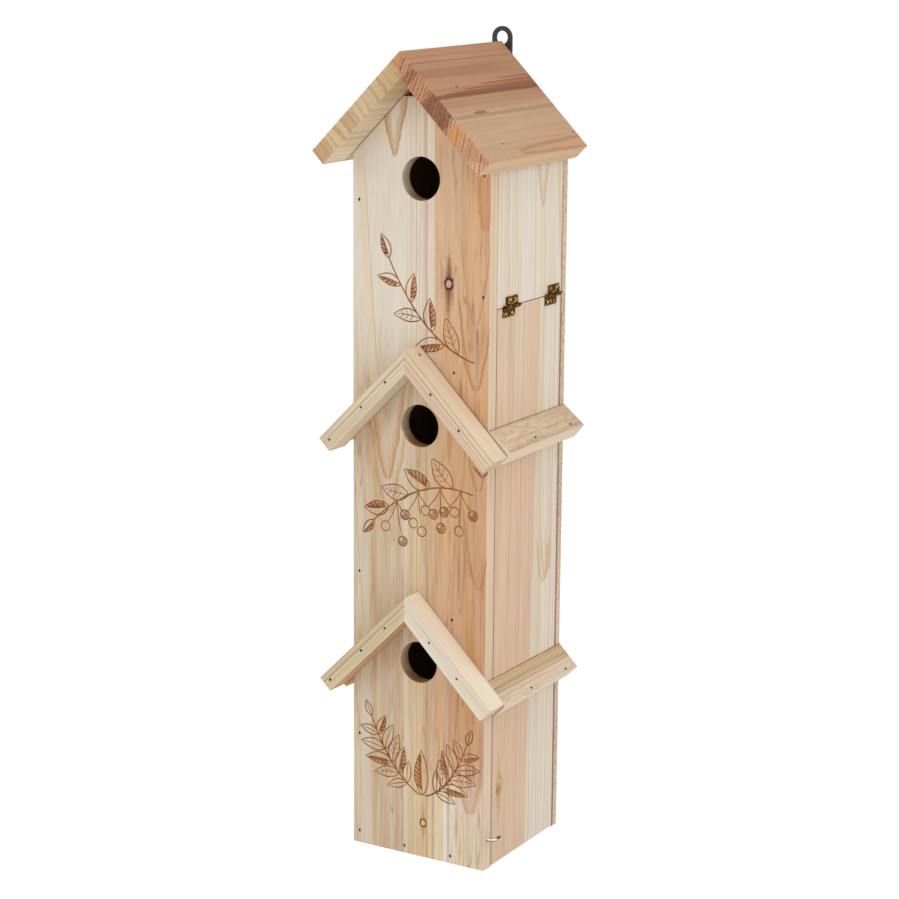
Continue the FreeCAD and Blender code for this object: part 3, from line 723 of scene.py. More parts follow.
@dataclass(frozen=True)
class MetalFinish:
    """Metal with a patchy skin over a brighter ground.

    painted_down_shade is painted shade on the faces that look down, painted_shade_from is the Y past which the
    metal is painted dark as shade, and sheen tints its gloss.
    """

    name: str
    bright: Colour
    dark: Colour
    patch_scale: float
    patch_low: float
    patch_high: float
    metallic: float
    rough_low: float
    rough_high: float
    bump: float = 0.2
    relief: float = 0.0001
    painted_down_shade: float = 0.0
    painted_shade_from: float | None = None
    sheen: Triple = (1.0, 1.0, 1.0)

    def material(self, box: tuple[Vector, Vector] | None = None) -> Material:
        """Build the finish as a material.

        Args:
            box: Corners of a leaf whose rim in Y and Z is darker, if any.

        Returns:
            The new material.
        """
        material, n, shader = blank_material(self.name)
        place = n.add("ShaderNodeTexCoord")
        spot = place.outputs["Object"]
        patches = n.noise(spot, self.patch_scale, 4.0, 0.6)
        skin_and_shade = n.ramp(patches, self.patch_low, self.patch_high)
        if box:
            middle, half = (box[0] + box[1]) / 2, (box[1] - box[0]) / 2
            away = n.vector("ABSOLUTE", n.vector("SUBTRACT", spot, tuple(middle)))
            left = n.vector("SUBTRACT", tuple(half), away)
            near = n.math("MINIMUM", n.part(left, "Y"), n.part(left, "Z"))
            skin_and_shade = n.math("MAXIMUM", skin_and_shade, n.ramp(near, 0.0002, 0.0012, 0.7, 0.0))
        # Painted shade: the faces that look down are darker.
        if self.painted_down_shade:
            upright = n.part(place.outputs["Normal"], "Z")
            skin_and_shade = n.math("MAXIMUM", skin_and_shade, n.ramp(upright, -0.6, 0.35, self.painted_down_shade, 0.0))
        # Painted shade: the metal past a Y is darker.
        if self.painted_shade_from is not None:
            deep = n.part(spot, "Y")
            shade = n.ramp(deep, self.painted_shade_from, self.painted_shade_from + 0.0015, 0.0, 0.92)
            skin_and_shade = n.math("MAXIMUM", skin_and_shade, shade)
        fine = n.noise(spot, self.patch_scale * 9, 3.0)
        n.feed(shader.inputs["Base Color"], n.colour(skin_and_shade, self.bright, self.dark))
        rough = n.between(skin_and_shade, self.rough_low, self.rough_high)
        n.feed(shader.inputs["Roughness"], n.strayed(rough, fine, 0.12))
        shader.inputs["Metallic"].default_value = self.metallic
        shader.inputs["Specular Tint"].default_value = (*self.sheen, 1.0)
        bump = n.add("ShaderNodeBump", {"Strength": self.bump, "Distance": self.relief, "Height": fine})
        n.feed(shader.inputs["Normal"], bump.outputs[0])
        return material


@dataclass(frozen=True)
class BurntFinish:
    """Wood scorched by a hot point: brown, with darker and paler stretches."""

    name: str
    pale: Colour
    dark: Colour
    gloss: float = 0.15

    def material(self) -> Material:
        """Build the finish as a material."""
        material, n, shader = blank_material(self.name)
        spot = n.add("ShaderNodeTexCoord").outputs["Object"]
        heat = n.noise(spot, 130.0, 3.0, 0.6)
        ash = n.noise(spot, 1400.0, 2.0)
        factor = n.strayed(n.ramp(heat, 0.3, 0.7), ash, 0.5)
        n.feed(shader.inputs["Base Color"], n.colour(factor, self.pale, self.dark))
        n.feed(shader.inputs["Roughness"], n.ramp(ash, 0.2, 0.8, 0.75, 0.95))
        shader.inputs["Specular IOR Level"].default_value = self.gloss
        return material


def linked(name: str, mesh: Mesh) -> Object:
    """New object of a mesh, in the scene."""
    piece = bpy.data.objects.new(name, mesh)
    bpy.context.scene.collection.objects.link(piece)
    return piece


def circle(centre: Flat, radius: float, count: int) -> list[Flat]:
    """Points round a circle."""
    turns = (2 * math.pi * index / count for index in range(count))
    return [(centre[0] + radius * math.cos(turn), centre[1] + radius * math.sin(turn)) for turn in turns]


def prism(
    name: str, outline: Sequence[Flat], front: float, back: float, arris: float,
    holes: Sequence[Sequence[Flat]] = ()
) -> Mesh:
    """Board with an XZ outline and eased arrises.

    Args:
        name: Name of the mesh.
        outline: Corners of the outline, as X and Z.
        front: Lowest Y.
        back: Highest Y.
        arris: Width of the eased edges.
        holes: Outlines of through holes.

    Returns:
        The closed mesh, with an attribute that is 1 on the eased edges.
    """
    bm = bmesh.new()
    layer = bm.faces.layers.float.new("arris")
    rims = []
    for loop in (outline, *holes):
        verts = [bm.verts.new((x, front, z)) for x, z in loop]
        rims += [bm.edges.new((verts[index - 1], verts[index])) for index in range(len(verts))]
    if holes:
        bmesh.ops.triangle_fill(bm, use_beauty=True, use_dissolve=False, edges=rims)
    else:
        bm.faces.new(bm.verts[:])
    raised = bmesh.ops.extrude_face_region(bm, geom=bm.faces[:])
    lifted = [item for item in raised["geom"] if isinstance(item, bmesh.types.BMVert)]
    bmesh.ops.translate(bm, verts=lifted, vec=(0.0, back - front, 0.0))
    bmesh.ops.recalc_face_normals(bm, faces=bm.faces[:])
    sharp = [edge for edge in bm.edges if edge.calc_face_angle(0.0) > SHARP]
    eased = bmesh.ops.bevel(
        bm, geom=sharp, offset=arris, offset_type="OFFSET", segments=3, profile=0.5, affect="EDGES",
        clamp_overlap=False
    )
    for face in eased["faces"]:
        face[layer] = 1.0
        face.smooth = True
    for face in bm.faces:
        if holes and abs(face.normal.y) < 0.1 and face.calc_area() < HOLE_FACET:
            face.smooth = True
    mesh = bpy.data.meshes.new(name)
    bm.to_mesh(mesh)
    bm.free()
    return mesh


class Profile(Enum):
    """Outline of a board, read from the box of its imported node."""

    BOX = "box"
    SLOPE = "slope"
    GABLE_WALL = "gable wall"
    SIDE_WALL = "side wall"

    def outline(self, node: str, apex_flat: float, pitch: float) -> list[Flat]:
        """Corners of a node's outline.

        Args:
            node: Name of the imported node.
            apex_flat: Width of the cut across the top of a gable wall.
            pitch: Pitch of a sloped board in radians.

        Returns:
            Corners as X and Z.
        """
        low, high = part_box(node)
        side = 1 if low.x + high.x > 0 else -1
        near, far = (low.x, high.x) if side > 0 else (high.x, low.x)
        if self is Profile.GABLE_WALL:
            half = apex_flat / 2
            shoulder = high.z - (high.x - half)
            return [
                (low.x, low.z), (high.x, low.z), (high.x, shoulder), (half, high.z), (-half, high.z),
                (low.x, shoulder)
            ]
        if self is Profile.SIDE_WALL:
            shoulder = high.z - abs(far - near)
            return [(near, low.z), (far, low.z), (far, shoulder), (near, high.z)]
        if self is Profile.SLOPE:
            steep = math.tan(pitch)
            fall = abs(far - near) * steep
            drop = high.z - fall - low.z
            return [
                (near, high.z), (far, high.z - fall), (far - side * drop * steep, low.z),
                (near, high.z - drop * (1 + steep * steep))
            ]
        return [(low.x, low.z), (high.x, low.z), (high.x, high.z), (low.x, high.z)]


@dataclass(frozen=True)
class Board:
    """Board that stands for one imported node."""

    node: str
    slot: str
    profile: Profile
    finish: FirFinish
    body: str = "house"
    arris: float = 0.00035
    apex_flat: float = 0.03
    pitch: float = math.radians(45)
    holes: tuple[tuple[Flat, float], ...] = ()

    def build(self) -> Object:
        """Make the board, dress it and put it in its node's place.

        Returns:
            The new piece.
        """
        low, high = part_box(self.node)
        rims = [circle(centre, radius, 96) for centre, radius in self.holes]
        outline = self.profile.outline(self.node, self.apex_flat, self.pitch)
        piece = linked(f"{self.node}_board", prism(self.node, outline, low.y, high.y, self.arris, rims))
        return settle(piece, self.finish.material(), self.body, self.slot, self.node)


def settle(piece: Object, material: Material, body: str, slot: str, *nodes: str) -> Object:
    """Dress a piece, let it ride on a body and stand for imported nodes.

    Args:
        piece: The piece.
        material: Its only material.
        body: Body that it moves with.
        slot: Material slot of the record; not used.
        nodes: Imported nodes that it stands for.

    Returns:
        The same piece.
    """
    piece.data.materials.clear()
    piece.data.materials.append(material)
    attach(piece, body)
    if nodes:
        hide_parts(*nodes)
    LOG.info("%s: %d faces on %s", piece.name, len(piece.data.polygons), body)
    return piece


# Finishes of the boards


def nested_curve(across: float, high: float, half_width: float, strength: float) -> Flame:
    """Thin brown line on the front where one ring of the right stave runs out."""
    return Flame(
        mm(across, FRONT_FACE, high), UPWARD, half_width * MM, 34 * MM, paint(196, 150, 112),
        paint(160, 106, 68), blunt=0.55, limb=0.16, stop=2.4, soft=0.07, strength=strength
    )


FRONT_STAVES = (
    Stave(
        mm(-26, -28, 302), paint(222, 212, 195), paint(178, 138, 94), paint(210, 188, 158),
        lean=(3.4, 0.0, 0.0), ring_width=0.0056, seed=0.31, contrast=0.05, streaks=0.12, pins=0.13,
        grows=(0.25, 0.47, 6.0),
        fades=(
            # From 0.52 to 0.56 m up, the left stave is painted 12 % lighter in grey: painted light against the
            # shade under the eave.
            Fade("Z", 0.44, 0.30, (0.92, 0.84, 0.73)), Fade("Z", 0.52, 0.56, (1.12, 1.12, 1.12)),
            Fade("X", 0.004, 0.015, (0.96, 0.9, 0.83)), Fade("Y", -0.0576, -0.054, (0.95, 0.86, 0.74))
        )
    ),
    Stave(
        mm(49, -33, 300), paint(212, 172, 134), paint(166, 112, 70), paint(200, 154, 114),
        lean=(3.3, 0.0, 0.0), ring_width=0.0048, seed=0.77, contrast=0.13, pins=0.8,
        fades=(
            Fade("Z", 0.36, 0.26, (0.95, 0.9, 0.87)), Fade("Z", 0.105, 0.04, (1.2, 1.75, 2.5)),
            Fade("X", 0.036, 0.015, (1.05, 1.14, 1.22))
        )
    ),
    Stave(
        mm(90, -70, 300), paint(222, 199, 173), paint(198, 162, 128), paint(214, 184, 154), ring_width=0.0032,
        seed=0.27
    ),
    # The front's inner face, past Y -47.7 mm, is painted dark brown as shade inside the house.
    Stave(mm(0, -20, 300), paint(150, 106, 74), paint(118, 80, 52), paint(138, 96, 66), seed=0.66)
)
FRONT_BANDS = (
    BandSet(
        (
            Band(-55.0, 4.5, paint(208, 197, 180)), Band(-46.0, 3.0, paint(194, 162, 122), 0.65),
            Band(-33.5, 8.5, paint(190, 160, 129), 0.5), Band(-23.4, 0.8, paint(132, 102, 74), 0.6),
            Band(-17.0, 5.2, paint(186, 152, 120), 0.5), Band(-11.0, 0.8, paint(140, 112, 84), 0.55),
            Band(-6.2, 3.8, paint(218, 204, 182), 0.6), Band(5.5, 7.8, paint(224, 198, 157), 0.55)
        ),
        mm(-40, 230, 330)
    ),
    BandSet(
        (Band(5.0, 7.0, paint(228, 210, 172), 0.6), Band(21.5, 7.0, paint(220, 190, 146), 0.6)),
        mm(-40, 52, 84), limits=(-10.0, 40.0)
    ),
    BandSet(
        (Band(-54.8, 4.4, paint(222, 198, 162), 0.6), Band(-49.2, 0.9, paint(178, 142, 98), 0.6)),
        mm(360, 505, 560), lean=-0.075, limits=(-80.0, 20.0)
    ),
    BandSet(
        (
            Band(-5.4, 0.9, paint(204, 178, 140), 0.5), Band(-0.6, 0.8, paint(176, 150, 102), 0.6),
            Band(1.7, 0.5, paint(196, 170, 130), 0.6), Band(5.2, 0.9, paint(180, 150, 104), 0.6),
            Band(8.6, 0.8, paint(190, 160, 118), 0.6), Band(11.2, 0.5, paint(178, 142, 104), 0.6),
            Band(13.6, 1.5, paint(190, 134, 100), 0.5)
        ),
        mm(-40, 610, 625), lean=-0.006
    )
)
FRONT_KNOTS = (
    Knot(
        mm(24.1, FRONT_FACE, 447.3), 4.4 * MM, (1.0, 0.2, 0.85), heart=paint(196, 164, 144),
        rim=paint(66, 36, 22), stain=paint(120, 68, 28), strength=1.0
    ),
    Knot(
        mm(4.8, FRONT_FACE, 28), 3.4 * MM, (1.0, 0.2, 0.85), heart=paint(222, 192, 146),
        rim=paint(92, 54, 28), stain=paint(184, 134, 76)
    )
)
FRONT_MARKS = (
    Flame(
        mm(27.0, FRONT_FACE, -10), (-0.055, 0.0, 1.0), 0.7 * MM, 100 * MM, paint(150, 106, 66),
        paint(160, 116, 76), blunt=0.0, stop=1.6, soft=0.45, strength=0.42
    ),
    Flame(
        mm(-23.0, FRONT_FACE, 536), (0.06, 0.0, 1.0), 10.5 * MM, 42 * MM, paint(212, 178, 136),
        paint(186, 138, 90), limb=0.36, strength=0.8
    ),
    Flame(
        mm(-28.6, FRONT_FACE, 294), UPWARD, 10.5 * MM, 40 * MM, paint(208, 162, 116), paint(180, 124, 78),
        blunt=0.62, limb=0.32, stop=2.4, soft=0.2, strength=0.7
    ),
    Flame(
        mm(-27.6, FRONT_FACE, 268), UPWARD, 14.0 * MM, 58 * MM, paint(200, 164, 122), paint(176, 130, 86),
        blunt=0.62, limb=0.1, stop=2.2, soft=0.06, strength=0.5
    ),
    Flame(
        mm(54.0, FRONT_FACE, 487), (-0.03, 0.0, 1.0), 6.0 * MM, 34 * MM, paint(200, 142, 98),
        paint(188, 126, 82), blunt=0.4, stop=1.5, soft=0.4, strength=0.6
    ),
    Flame(
        mm(48.3, FRONT_FACE, 404), UPWARD, 0.5 * MM, 10 * MM, paint(116, 66, 38), paint(140, 88, 54),
        blunt=0.4, stop=1.5, strength=0.8
    ),
    Flame(
        mm(45.4, FRONT_FACE, 43), UPWARD, 8.6 * MM, 30 * MM, paint(208, 168, 140), paint(196, 136, 108),
        blunt=0.42, limb=0.5, stop=2.0, soft=0.35, strength=0.6
    ),
    Flame(
        mm(42.4, FRONT_FACE, 71), UPWARD, 0.8 * MM, 8 * MM, paint(172, 106, 80), paint(184, 120, 92),
        blunt=0.4, stop=1.5, soft=0.4, strength=0.75
    ),
    Flame(
        mm(49.0, FRONT_FACE, 71), UPWARD, 1.1 * MM, 10 * MM, paint(166, 98, 72), paint(184, 120, 92),
        blunt=0.4, stop=1.5, soft=0.4, strength=0.75
    ),
    Flame(
        mm(53.9, FRONT_FACE, 305.8), UPWARD, 5.5 * MM, 5.5 * MM, paint(116, 62, 28), paint(104, 54, 24),
        blunt=1.0, limb=0.3, stop=1.7, soft=0.2, strength=0.8
    ),
    nested_curve(47.0, 370, 10.0, 0.6), nested_curve(46.5, 418, 9.0, 0.4), nested_curve(50.0, 295, 9.0, 0.5),
    nested_curve(50.8, 220, 9.5, 0.5)
)
FRONT = FirFinish(
    "front_fir", Grain.UP, FRONT_STAVES,
    seams=(Seam("X", 15.0 * MM, -0.006, 0.0007), Seam("X", 57.9 * MM), Seam("Y", -47.7 * MM)), waver=0.004,
    bands=FRONT_BANDS, knots=FRONT_KNOTS, flames=FRONT_MARKS
)
# Painted shade: the inner faces of the back and left walls are darkened, as shade inside the house.
PAINTED_INSIDE_SHADE = (0.42, 0.38, 0.34)
BACK_WALL = FirFinish(
    "back_fir", Grain.UP,
    (
        Stave(
            mm(20, 96, 250), paint(214, 184, 156), paint(172, 122, 88), paint(198, 156, 124),
            lean=(2.4, 0.0, 0.0), ring_width=0.006, seed=0.12, fades=(Fade("Y", 0.0508, 0.0503, PAINTED_INSIDE_SHADE),)
        ),
    ),
    knots=(Knot(mm(-26, 58, 180), 5 * MM, (1.0, 0.2, 0.7)),),
    flames=(
        Flame(
            mm(SIDE_FACE, 54, -10), UPWARD, 30 * MM, 60 * MM, paint(224, 204, 180), paint(224, 204, 180),
            side=BACKWARD, blunt=0.0, strength=0.75
        ),
        # Painted contact shadow: a dark line on the edge next to the joint with the side.
        Flame(
            mm(SIDE_FACE, 50.7, -10), UPWARD, 0.9 * MM, 60 * MM, paint(124, 78, 52), paint(156, 108, 78),
            side=BACKWARD, blunt=0.0, stop=11.0, soft=0.8, strength=0.85
        )
    ),
    crust=paint(150, 104, 76)
)
LEFT_WALL = FirFinish(
    "left_fir", Grain.UP,
    (
        Stave(
            mm(-95, -8, 210), paint(218, 200, 174), paint(188, 150, 110), paint(208, 180, 148),
            lean=(0.0, 3.0, 0.0), ring_width=0.0052, seed=0.53,
            fades=(Fade("X", -0.0484, -0.0479, PAINTED_INSIDE_SHADE),)
        ),
    ),
    knots=(Knot(mm(-58, 20, 300), 3.6 * MM, (0.2, 1.0, 0.7)),)
)
RIGHT_WALL = FirFinish(
    "right_wall_fir", Grain.UP,
    (
        Stave(
            mm(130, 64, 480), paint(226, 216, 200), paint(206, 186, 158), paint(219, 205, 184),
            lean=(0.0, -1.0, 0.0), ring_width=0.0042, seed=0.22
        ),
    ),
    flames=(
        Flame(
            mm(SIDE_FACE, 19.5, 497), (0.0, 0.04, 1.0), 8.5 * MM, 34 * MM, paint(212, 188, 152),
            paint(194, 158, 118), side=BACKWARD, limb=0.4, strength=0.7
        ),
    )
)


def door_curve(deep: float, high: float, half_width: float, strength: float) -> Flame:
    """Thin line on the door's pale stave, where one ring runs out near its back edge."""
    return Flame(
        mm(SIDE_FACE, deep, high), (0.0, 0.2, 0.98), half_width * MM, 26 * MM, paint(204, 176, 134),
        paint(176, 138, 92), side=BACKWARD, blunt=0.5, limb=0.3, stop=1.6, soft=0.12, strength=strength
    )


DOOR = FirFinish(
    "door_fir", Grain.UP,
    (
        Stave(
            mm(128, -60, 200), paint(218, 191, 164), paint(198, 158, 126), paint(212, 178, 149),
            lean=(0.0, -0.6, 0.0), ring_width=0.0040, seed=0.44, contrast=0.5,
            fades=(Fade("Y", -0.01, 0.012, (0.99, 0.94, 0.92)), Fade("Z", 0.30, 0.42, (1.02, 1.08, 1.12)))
        ),
        Stave(
            mm(120, 96, 216), paint(223, 212, 196), paint(202, 178, 146), paint(213, 197, 172),
            lean=(0.0, 0.8, 0.0), ring_width=0.0040, seed=0.91, contrast=0.75
        )
    ),
    seams=(Seam("Y", 5 * MM, 0.029),),
    knots=(
        Knot(
            mm(SIDE_FACE, -36.6, 59), 4.2 * MM, (0.2, 1.0, 0.8), heart=paint(132, 78, 46),
            rim=paint(180, 130, 86), stain=paint(188, 136, 92), strength=0.9
        ),
        Knot(
            mm(SIDE_FACE, -35.6, 65), 4.2 * MM, (0.2, 1.0, 0.7), heart=paint(214, 180, 140),
            rim=paint(180, 138, 92), stain=paint(200, 160, 118), strength=0.6
        )
    ),
    flames=(
        door_curve(28.0, 207.0, 9.0, 0.5), door_curve(32.0, 209.0, 6.5, 0.6),
        door_curve(35.5, 212.0, 4.2, 0.6),
        Flame(
            mm(SIDE_FACE, 38, 215), (0.0, 0.16, 0.99), 3.4 * MM, 14 * MM, paint(212, 174, 134),
            paint(206, 168, 128), side=BACKWARD, blunt=0.5, stop=1.7, soft=0.5, strength=0.6
        )
    )
)


def end_patch(across: float, half_width: float, tint: Colour, strength: float) -> Flame:
    """Soft patch through the thickness of a roof board, on its ends, at an X in millimetres on top."""
    hand = math.copysign(1.0, across)
    inward = 9.55
    return Flame(
        mm(across - hand * inward, -88, RIDGE - inward - abs(across)), (hand * ROOT_HALF, 0.0, ROOT_HALF),
        half_width * MM, 20 * MM, tint, tint, side=(hand * ROOT_HALF, 0.0, -ROOT_HALF), blunt=0.0, soft=0.8,
        strength=strength
    )


def roof_streak(across: float, deep: float, half_width: float, tint: Colour, rise: float) -> Flame:
    """Tapered streak up the right roof board to the back, from a place in millimetres."""
    return Flame(
        mm(across, deep, RIDGE - across), (-rise, 1.0, rise), half_width * MM, 60 * MM, tint, tint,
        side=DOWN_SLOPE, blunt=0.5, soft=0.5, strength=0.7
    )


def roof_line(
    across: float, half_width: float, tint: Colour, edge: Colour, strength: float, run: float = 0.0
) -> Flame:
    """Streak along the whole right roof board, from an X in millimetres, that may run down the slope."""
    return Flame(
        mm(across, -96, RIDGE - across), (run, 1.0, -run), half_width * MM, 60 * MM, tint, edge,
        side=DOWN_SLOPE, blunt=0.0, soft=0.7, strength=strength
    )


RIGHT_ROOF_MARKS = (
    roof_line(9.0, 0.6, paint(146, 100, 72), paint(160, 112, 82), 0.6, 0.033),
    roof_line(2.6, 0.9, paint(168, 122, 92), paint(174, 128, 98), 0.5, 0.012),
    Flame(
        mm(16.2, -92, RIDGE - 16.2), (0.02, 1.0, -0.02), 2.8 * MM, 60 * MM, paint(158, 110, 78),
        paint(160, 112, 82), side=DOWN_SLOPE, soft=0.9, blunt=0.0, stop=2.6, strength=0.7
    ),
    Flame(
        mm(29.4, -66, RIDGE - 29.4), (-0.018, 1.0, 0.018), 5.0 * MM, 120 * MM, paint(162, 108, 80),
        paint(164, 112, 84), side=DOWN_SLOPE, soft=1.0, blunt=0.9, strength=0.55
    ),
    roof_streak(30.0, -76, 0.9, paint(124, 64, 40), 0.010),
    roof_streak(28.2, -46, 0.8, paint(132, 70, 44), 0.014),
    roof_streak(26.0, -18, 0.8, paint(136, 74, 48), 0.020),
    roof_streak(23.8, 8, 0.7, paint(142, 82, 56), 0.026),
    roof_line(31.6, 1.4, paint(108, 66, 40), paint(128, 82, 54), 0.85, 0.002),
    roof_line(33.6, 0.8, paint(172, 126, 98), paint(178, 134, 104), 0.5, 0.002),
    roof_line(45.4, 1.3, paint(144, 104, 74), paint(164, 126, 96), 0.5, -0.008),
    Flame(
        mm(43.6, -58.0, RIDGE - 43.6), BACKWARD, 1.2 * MM, 15 * MM, paint(112, 70, 44), paint(140, 96, 66),
        side=DOWN_SLOPE, soft=0.7, blunt=0.4, stop=1.5, strength=0.75
    ),
    Flame(
        mm(70.9, -40, RIDGE - 70.9), (-0.01, 1.0, 0.01), 5.0 * MM, 100 * MM, paint(194, 150, 112),
        paint(170, 122, 84), side=DOWN_SLOPE, soft=0.5, blunt=0.42, strength=0.75
    ),
    end_patch(13.0, 2.4, paint(120, 74, 48), 0.5), end_patch(36.5, 9.0, paint(100, 56, 34), 0.62),
    end_patch(52.0, 4.5, paint(210, 140, 80), 0.5), end_patch(68.0, 10.0, paint(168, 112, 76), 0.35)
)
RIGHT_ROOF = FirFinish(
    "right_roof_fir", Grain.BACK,
    (
        Stave(
            mm(176, 0, 526), paint(179, 134, 101), paint(120, 76, 50), paint(166, 124, 94), ring_width=0.0030,
            seed=0.63, contrast=0.08, streaks=0.5, pins=0.3,
            fades=(
                Fade("X", 0.033, 0.048, (1.16, 1.42, 1.56)), Fade("Y", -0.03, 0.05, (0.96, 0.94, 0.92)),
                Fade("Z", 0.5412, 0.5386, (1.32, 1.38, 1.4))
            )
        ),
    ),
    flames=RIGHT_ROOF_MARKS, end=paint(200, 142, 106), end_rings=1.0
)
LEFT_ROOF = FirFinish(
    "left_roof_fir", Grain.BACK,
    (
        Stave(
            mm(-118, 0, 500), paint(230, 215, 189), paint(184, 150, 104), paint(214, 194, 154),
            ring_width=0.0062, seed=0.37, contrast=0.6, pins=0.3,
            fades=(Fade("X", -0.034, -0.004, (0.86, 0.8, 0.66)),)
        ),
    ),
    flames=(
        # Painted contact shadow: a dark line on the underside where the roof meets the front.
        Flame(
            mm(10, -58.5, 610), (-ROOT_HALF, 0.0, -ROOT_HALF), 0.8 * MM, 60 * MM, paint(110, 82, 52),
            paint(150, 120, 82), side=FORWARD, blunt=0.0, stop=2.3, soft=0.5, both=False, strength=0.8
        ),
        end_patch(-3.0, 5.0, paint(184, 124, 88), 0.6), end_patch(-30.0, 3.0, paint(196, 168, 150), 0.5),
        end_patch(-47.0, 4.0, paint(178, 136, 96), 0.5), end_patch(-73.0, 8.0, paint(176, 132, 86), 0.5)
    ),
    end=paint(206, 180, 142), end_rings=0.75
)


def strip_finish(
    name: str, grain: Grain, pith: Triple, early: Colour, late: Colour, seed: float,
    flames: tuple[Flame, ...] = (), end: Colour | None = None, **details: Any
) -> FirFinish:
    """Finish of a strip of fir for a gable board, a slat or a floor.

    Args:
        name: Name of the finish.
        grain: Way the grain runs.
        pith: Point on the pith line.
        early: Colour of the early wood.
        late: Colour of the late wood.
        seed: Shift of the random figure.
        flames: Marks on its faces.
        end: Colour of its cut ends, if not a mixture of the other two.
        details: Further details of its one stave.

    Returns:
        The finish.
    """
    streak = tuple(0.6 * one + 0.4 * two for one, two in zip(early, late))
    rings = 0.6 if end is None else 0.1
    end = end or tuple(0.55 * one + 0.45 * two for one, two in zip(early, late))
    settings = {"ring_width": 0.0036, "contrast": 0.35, "pins": 0.5} | details
    staves = (Stave(pith, early, late, streak, seed=seed, **settings),)
    return FirFinish(name, grain, staves, flames=flames, end=end, end_rings=rings)


# Half width of a dark joint line that is painted contact shadow, length and overshoot of a mark that runs along
# a whole strip
JOINT = 0.0008
RUN = 0.05
BEYOND = 0.01


def slat_marks(low: Vector, high: Vector, pitch: float) -> tuple[Flame, ...]:
    """Painted contact shadow along the joint of a slat with its wall, and its paler lower edge.

    Args:
        low: Lower corner of the slat's box.
        high: Upper corner of the slat's box.
        pitch: Pitch of the slat in radians.

    Returns:
        The marks.
    """
    hand = 1.0 if low.x + high.x > 0 else -1.0
    near = low.x if hand > 0 else high.x
    top = (near, low.y - BEYOND, high.z)
    down = (hand * math.cos(pitch), 0.0, -math.sin(pitch))
    square = (hand * math.sin(pitch), 0.0, math.cos(pitch))
    # Painted contact shadow along the slat's top edge at the wall.
    joint = Flame(
        top, BACKWARD, JOINT, RUN, paint(124, 76, 46), paint(150, 102, 68), side=down, blunt=0.0, soft=0.5,
        strength=0.85
    )
    pale = paint(234, 220, 198)
    edge = Flame(top, BACKWARD, 0.06, RUN, pale, pale, side=square, blunt=0.0, strength=0.6)
    return joint, edge


def lined_slat(name: str, low: Vector, high: Vector) -> FirFinish:
    """Finish of a lower slat: close dark lines next to the wall, plain wood below.

    Args:
        name: Name of the finish.
        low: Lower corner of the slat's box.
        high: Upper corner of the slat's box.

    Returns:
        The finish.
    """
    lines = 67.5 * MM
    middle = (low + high) / 2
    pith = (middle.x * 2.2, 0.0, middle.z - abs(middle.x) * 1.2)
    lined = Stave(
        pith, paint(216, 190, 150), paint(126, 86, 52), paint(204, 172, 130), ring_width=0.0019, seed=0.88,
        contrast=0.95, pins=0.8
    )
    plain = Stave(
        pith, paint(221, 200, 172), paint(184, 148, 114), paint(212, 186, 154), ring_width=0.0042, seed=0.36,
        contrast=0.3, curl=0.6
    )
    staves, seam = ((lined, plain), lines) if middle.x > 0 else ((plain, lined), -lines)
    marks = slat_marks(low, high, Board.pitch)
    seams = (Seam("X", seam, blur=0.0006),)
    return FirFinish(name, Grain.BACK, staves, seams, flames=marks, end=paint(204, 172, 132))


@dataclass(frozen=True)
class Walls:
    """Front, back and side panels, with the three entrances."""

    entrance_heights: tuple[float, ...] = mm(156, 339, 522)
    entrance_radius: float = 0.016

    def build(self) -> list[Object]:
        """Make the panels and return them."""
        entrances = tuple(((0.0, height), self.entrance_radius) for height in self.entrance_heights)
        boards = (
            Board("front_panel", "front_wood", Profile.GABLE_WALL, FRONT, holes=entrances),
            Board("back_panel", "back_wood", Profile.GABLE_WALL, BACK_WALL),
            Board("left_side_panel", "side_wood", Profile.SIDE_WALL, LEFT_WALL),
            Board("right_upper_panel", "pale_wood", Profile.SIDE_WALL, RIGHT_WALL, arris=0.00015)
        )
        return [board.build() for board in boards]


@dataclass(frozen=True)
class Floors:
    """Base, middle and upper floor."""

    seeds: tuple[float, ...] = (0.15, 0.48, 0.84)

    def build(self) -> list[Object]:
        """Make the floors and return them."""
        pieces = []
        for node, seed in zip(("base_floor", "middle_floor", "upper_floor"), self.seeds):
            low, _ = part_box(node)
            finish = strip_finish(
                f"{node}_fir", Grain.ACROSS, (0.0, 0.02, low.z - 0.05), paint(210, 186, 156),
                paint(172, 132, 96), seed
            )
            pieces.append(Board(node, "side_wood", Profile.BOX, finish).build())
        return pieces


@dataclass(frozen=True)
class Roof:
    """Two roof boards that meet in a mitre at the ridge."""

    def build(self) -> list[Object]:
        """Make the roof boards and return them."""
        return [
            Board(node, "roof_wood", Profile.SLOPE, finish).build()
            for node, finish in (("left_roof_board", LEFT_ROOF), ("right_roof_board", RIGHT_ROOF))
        ]


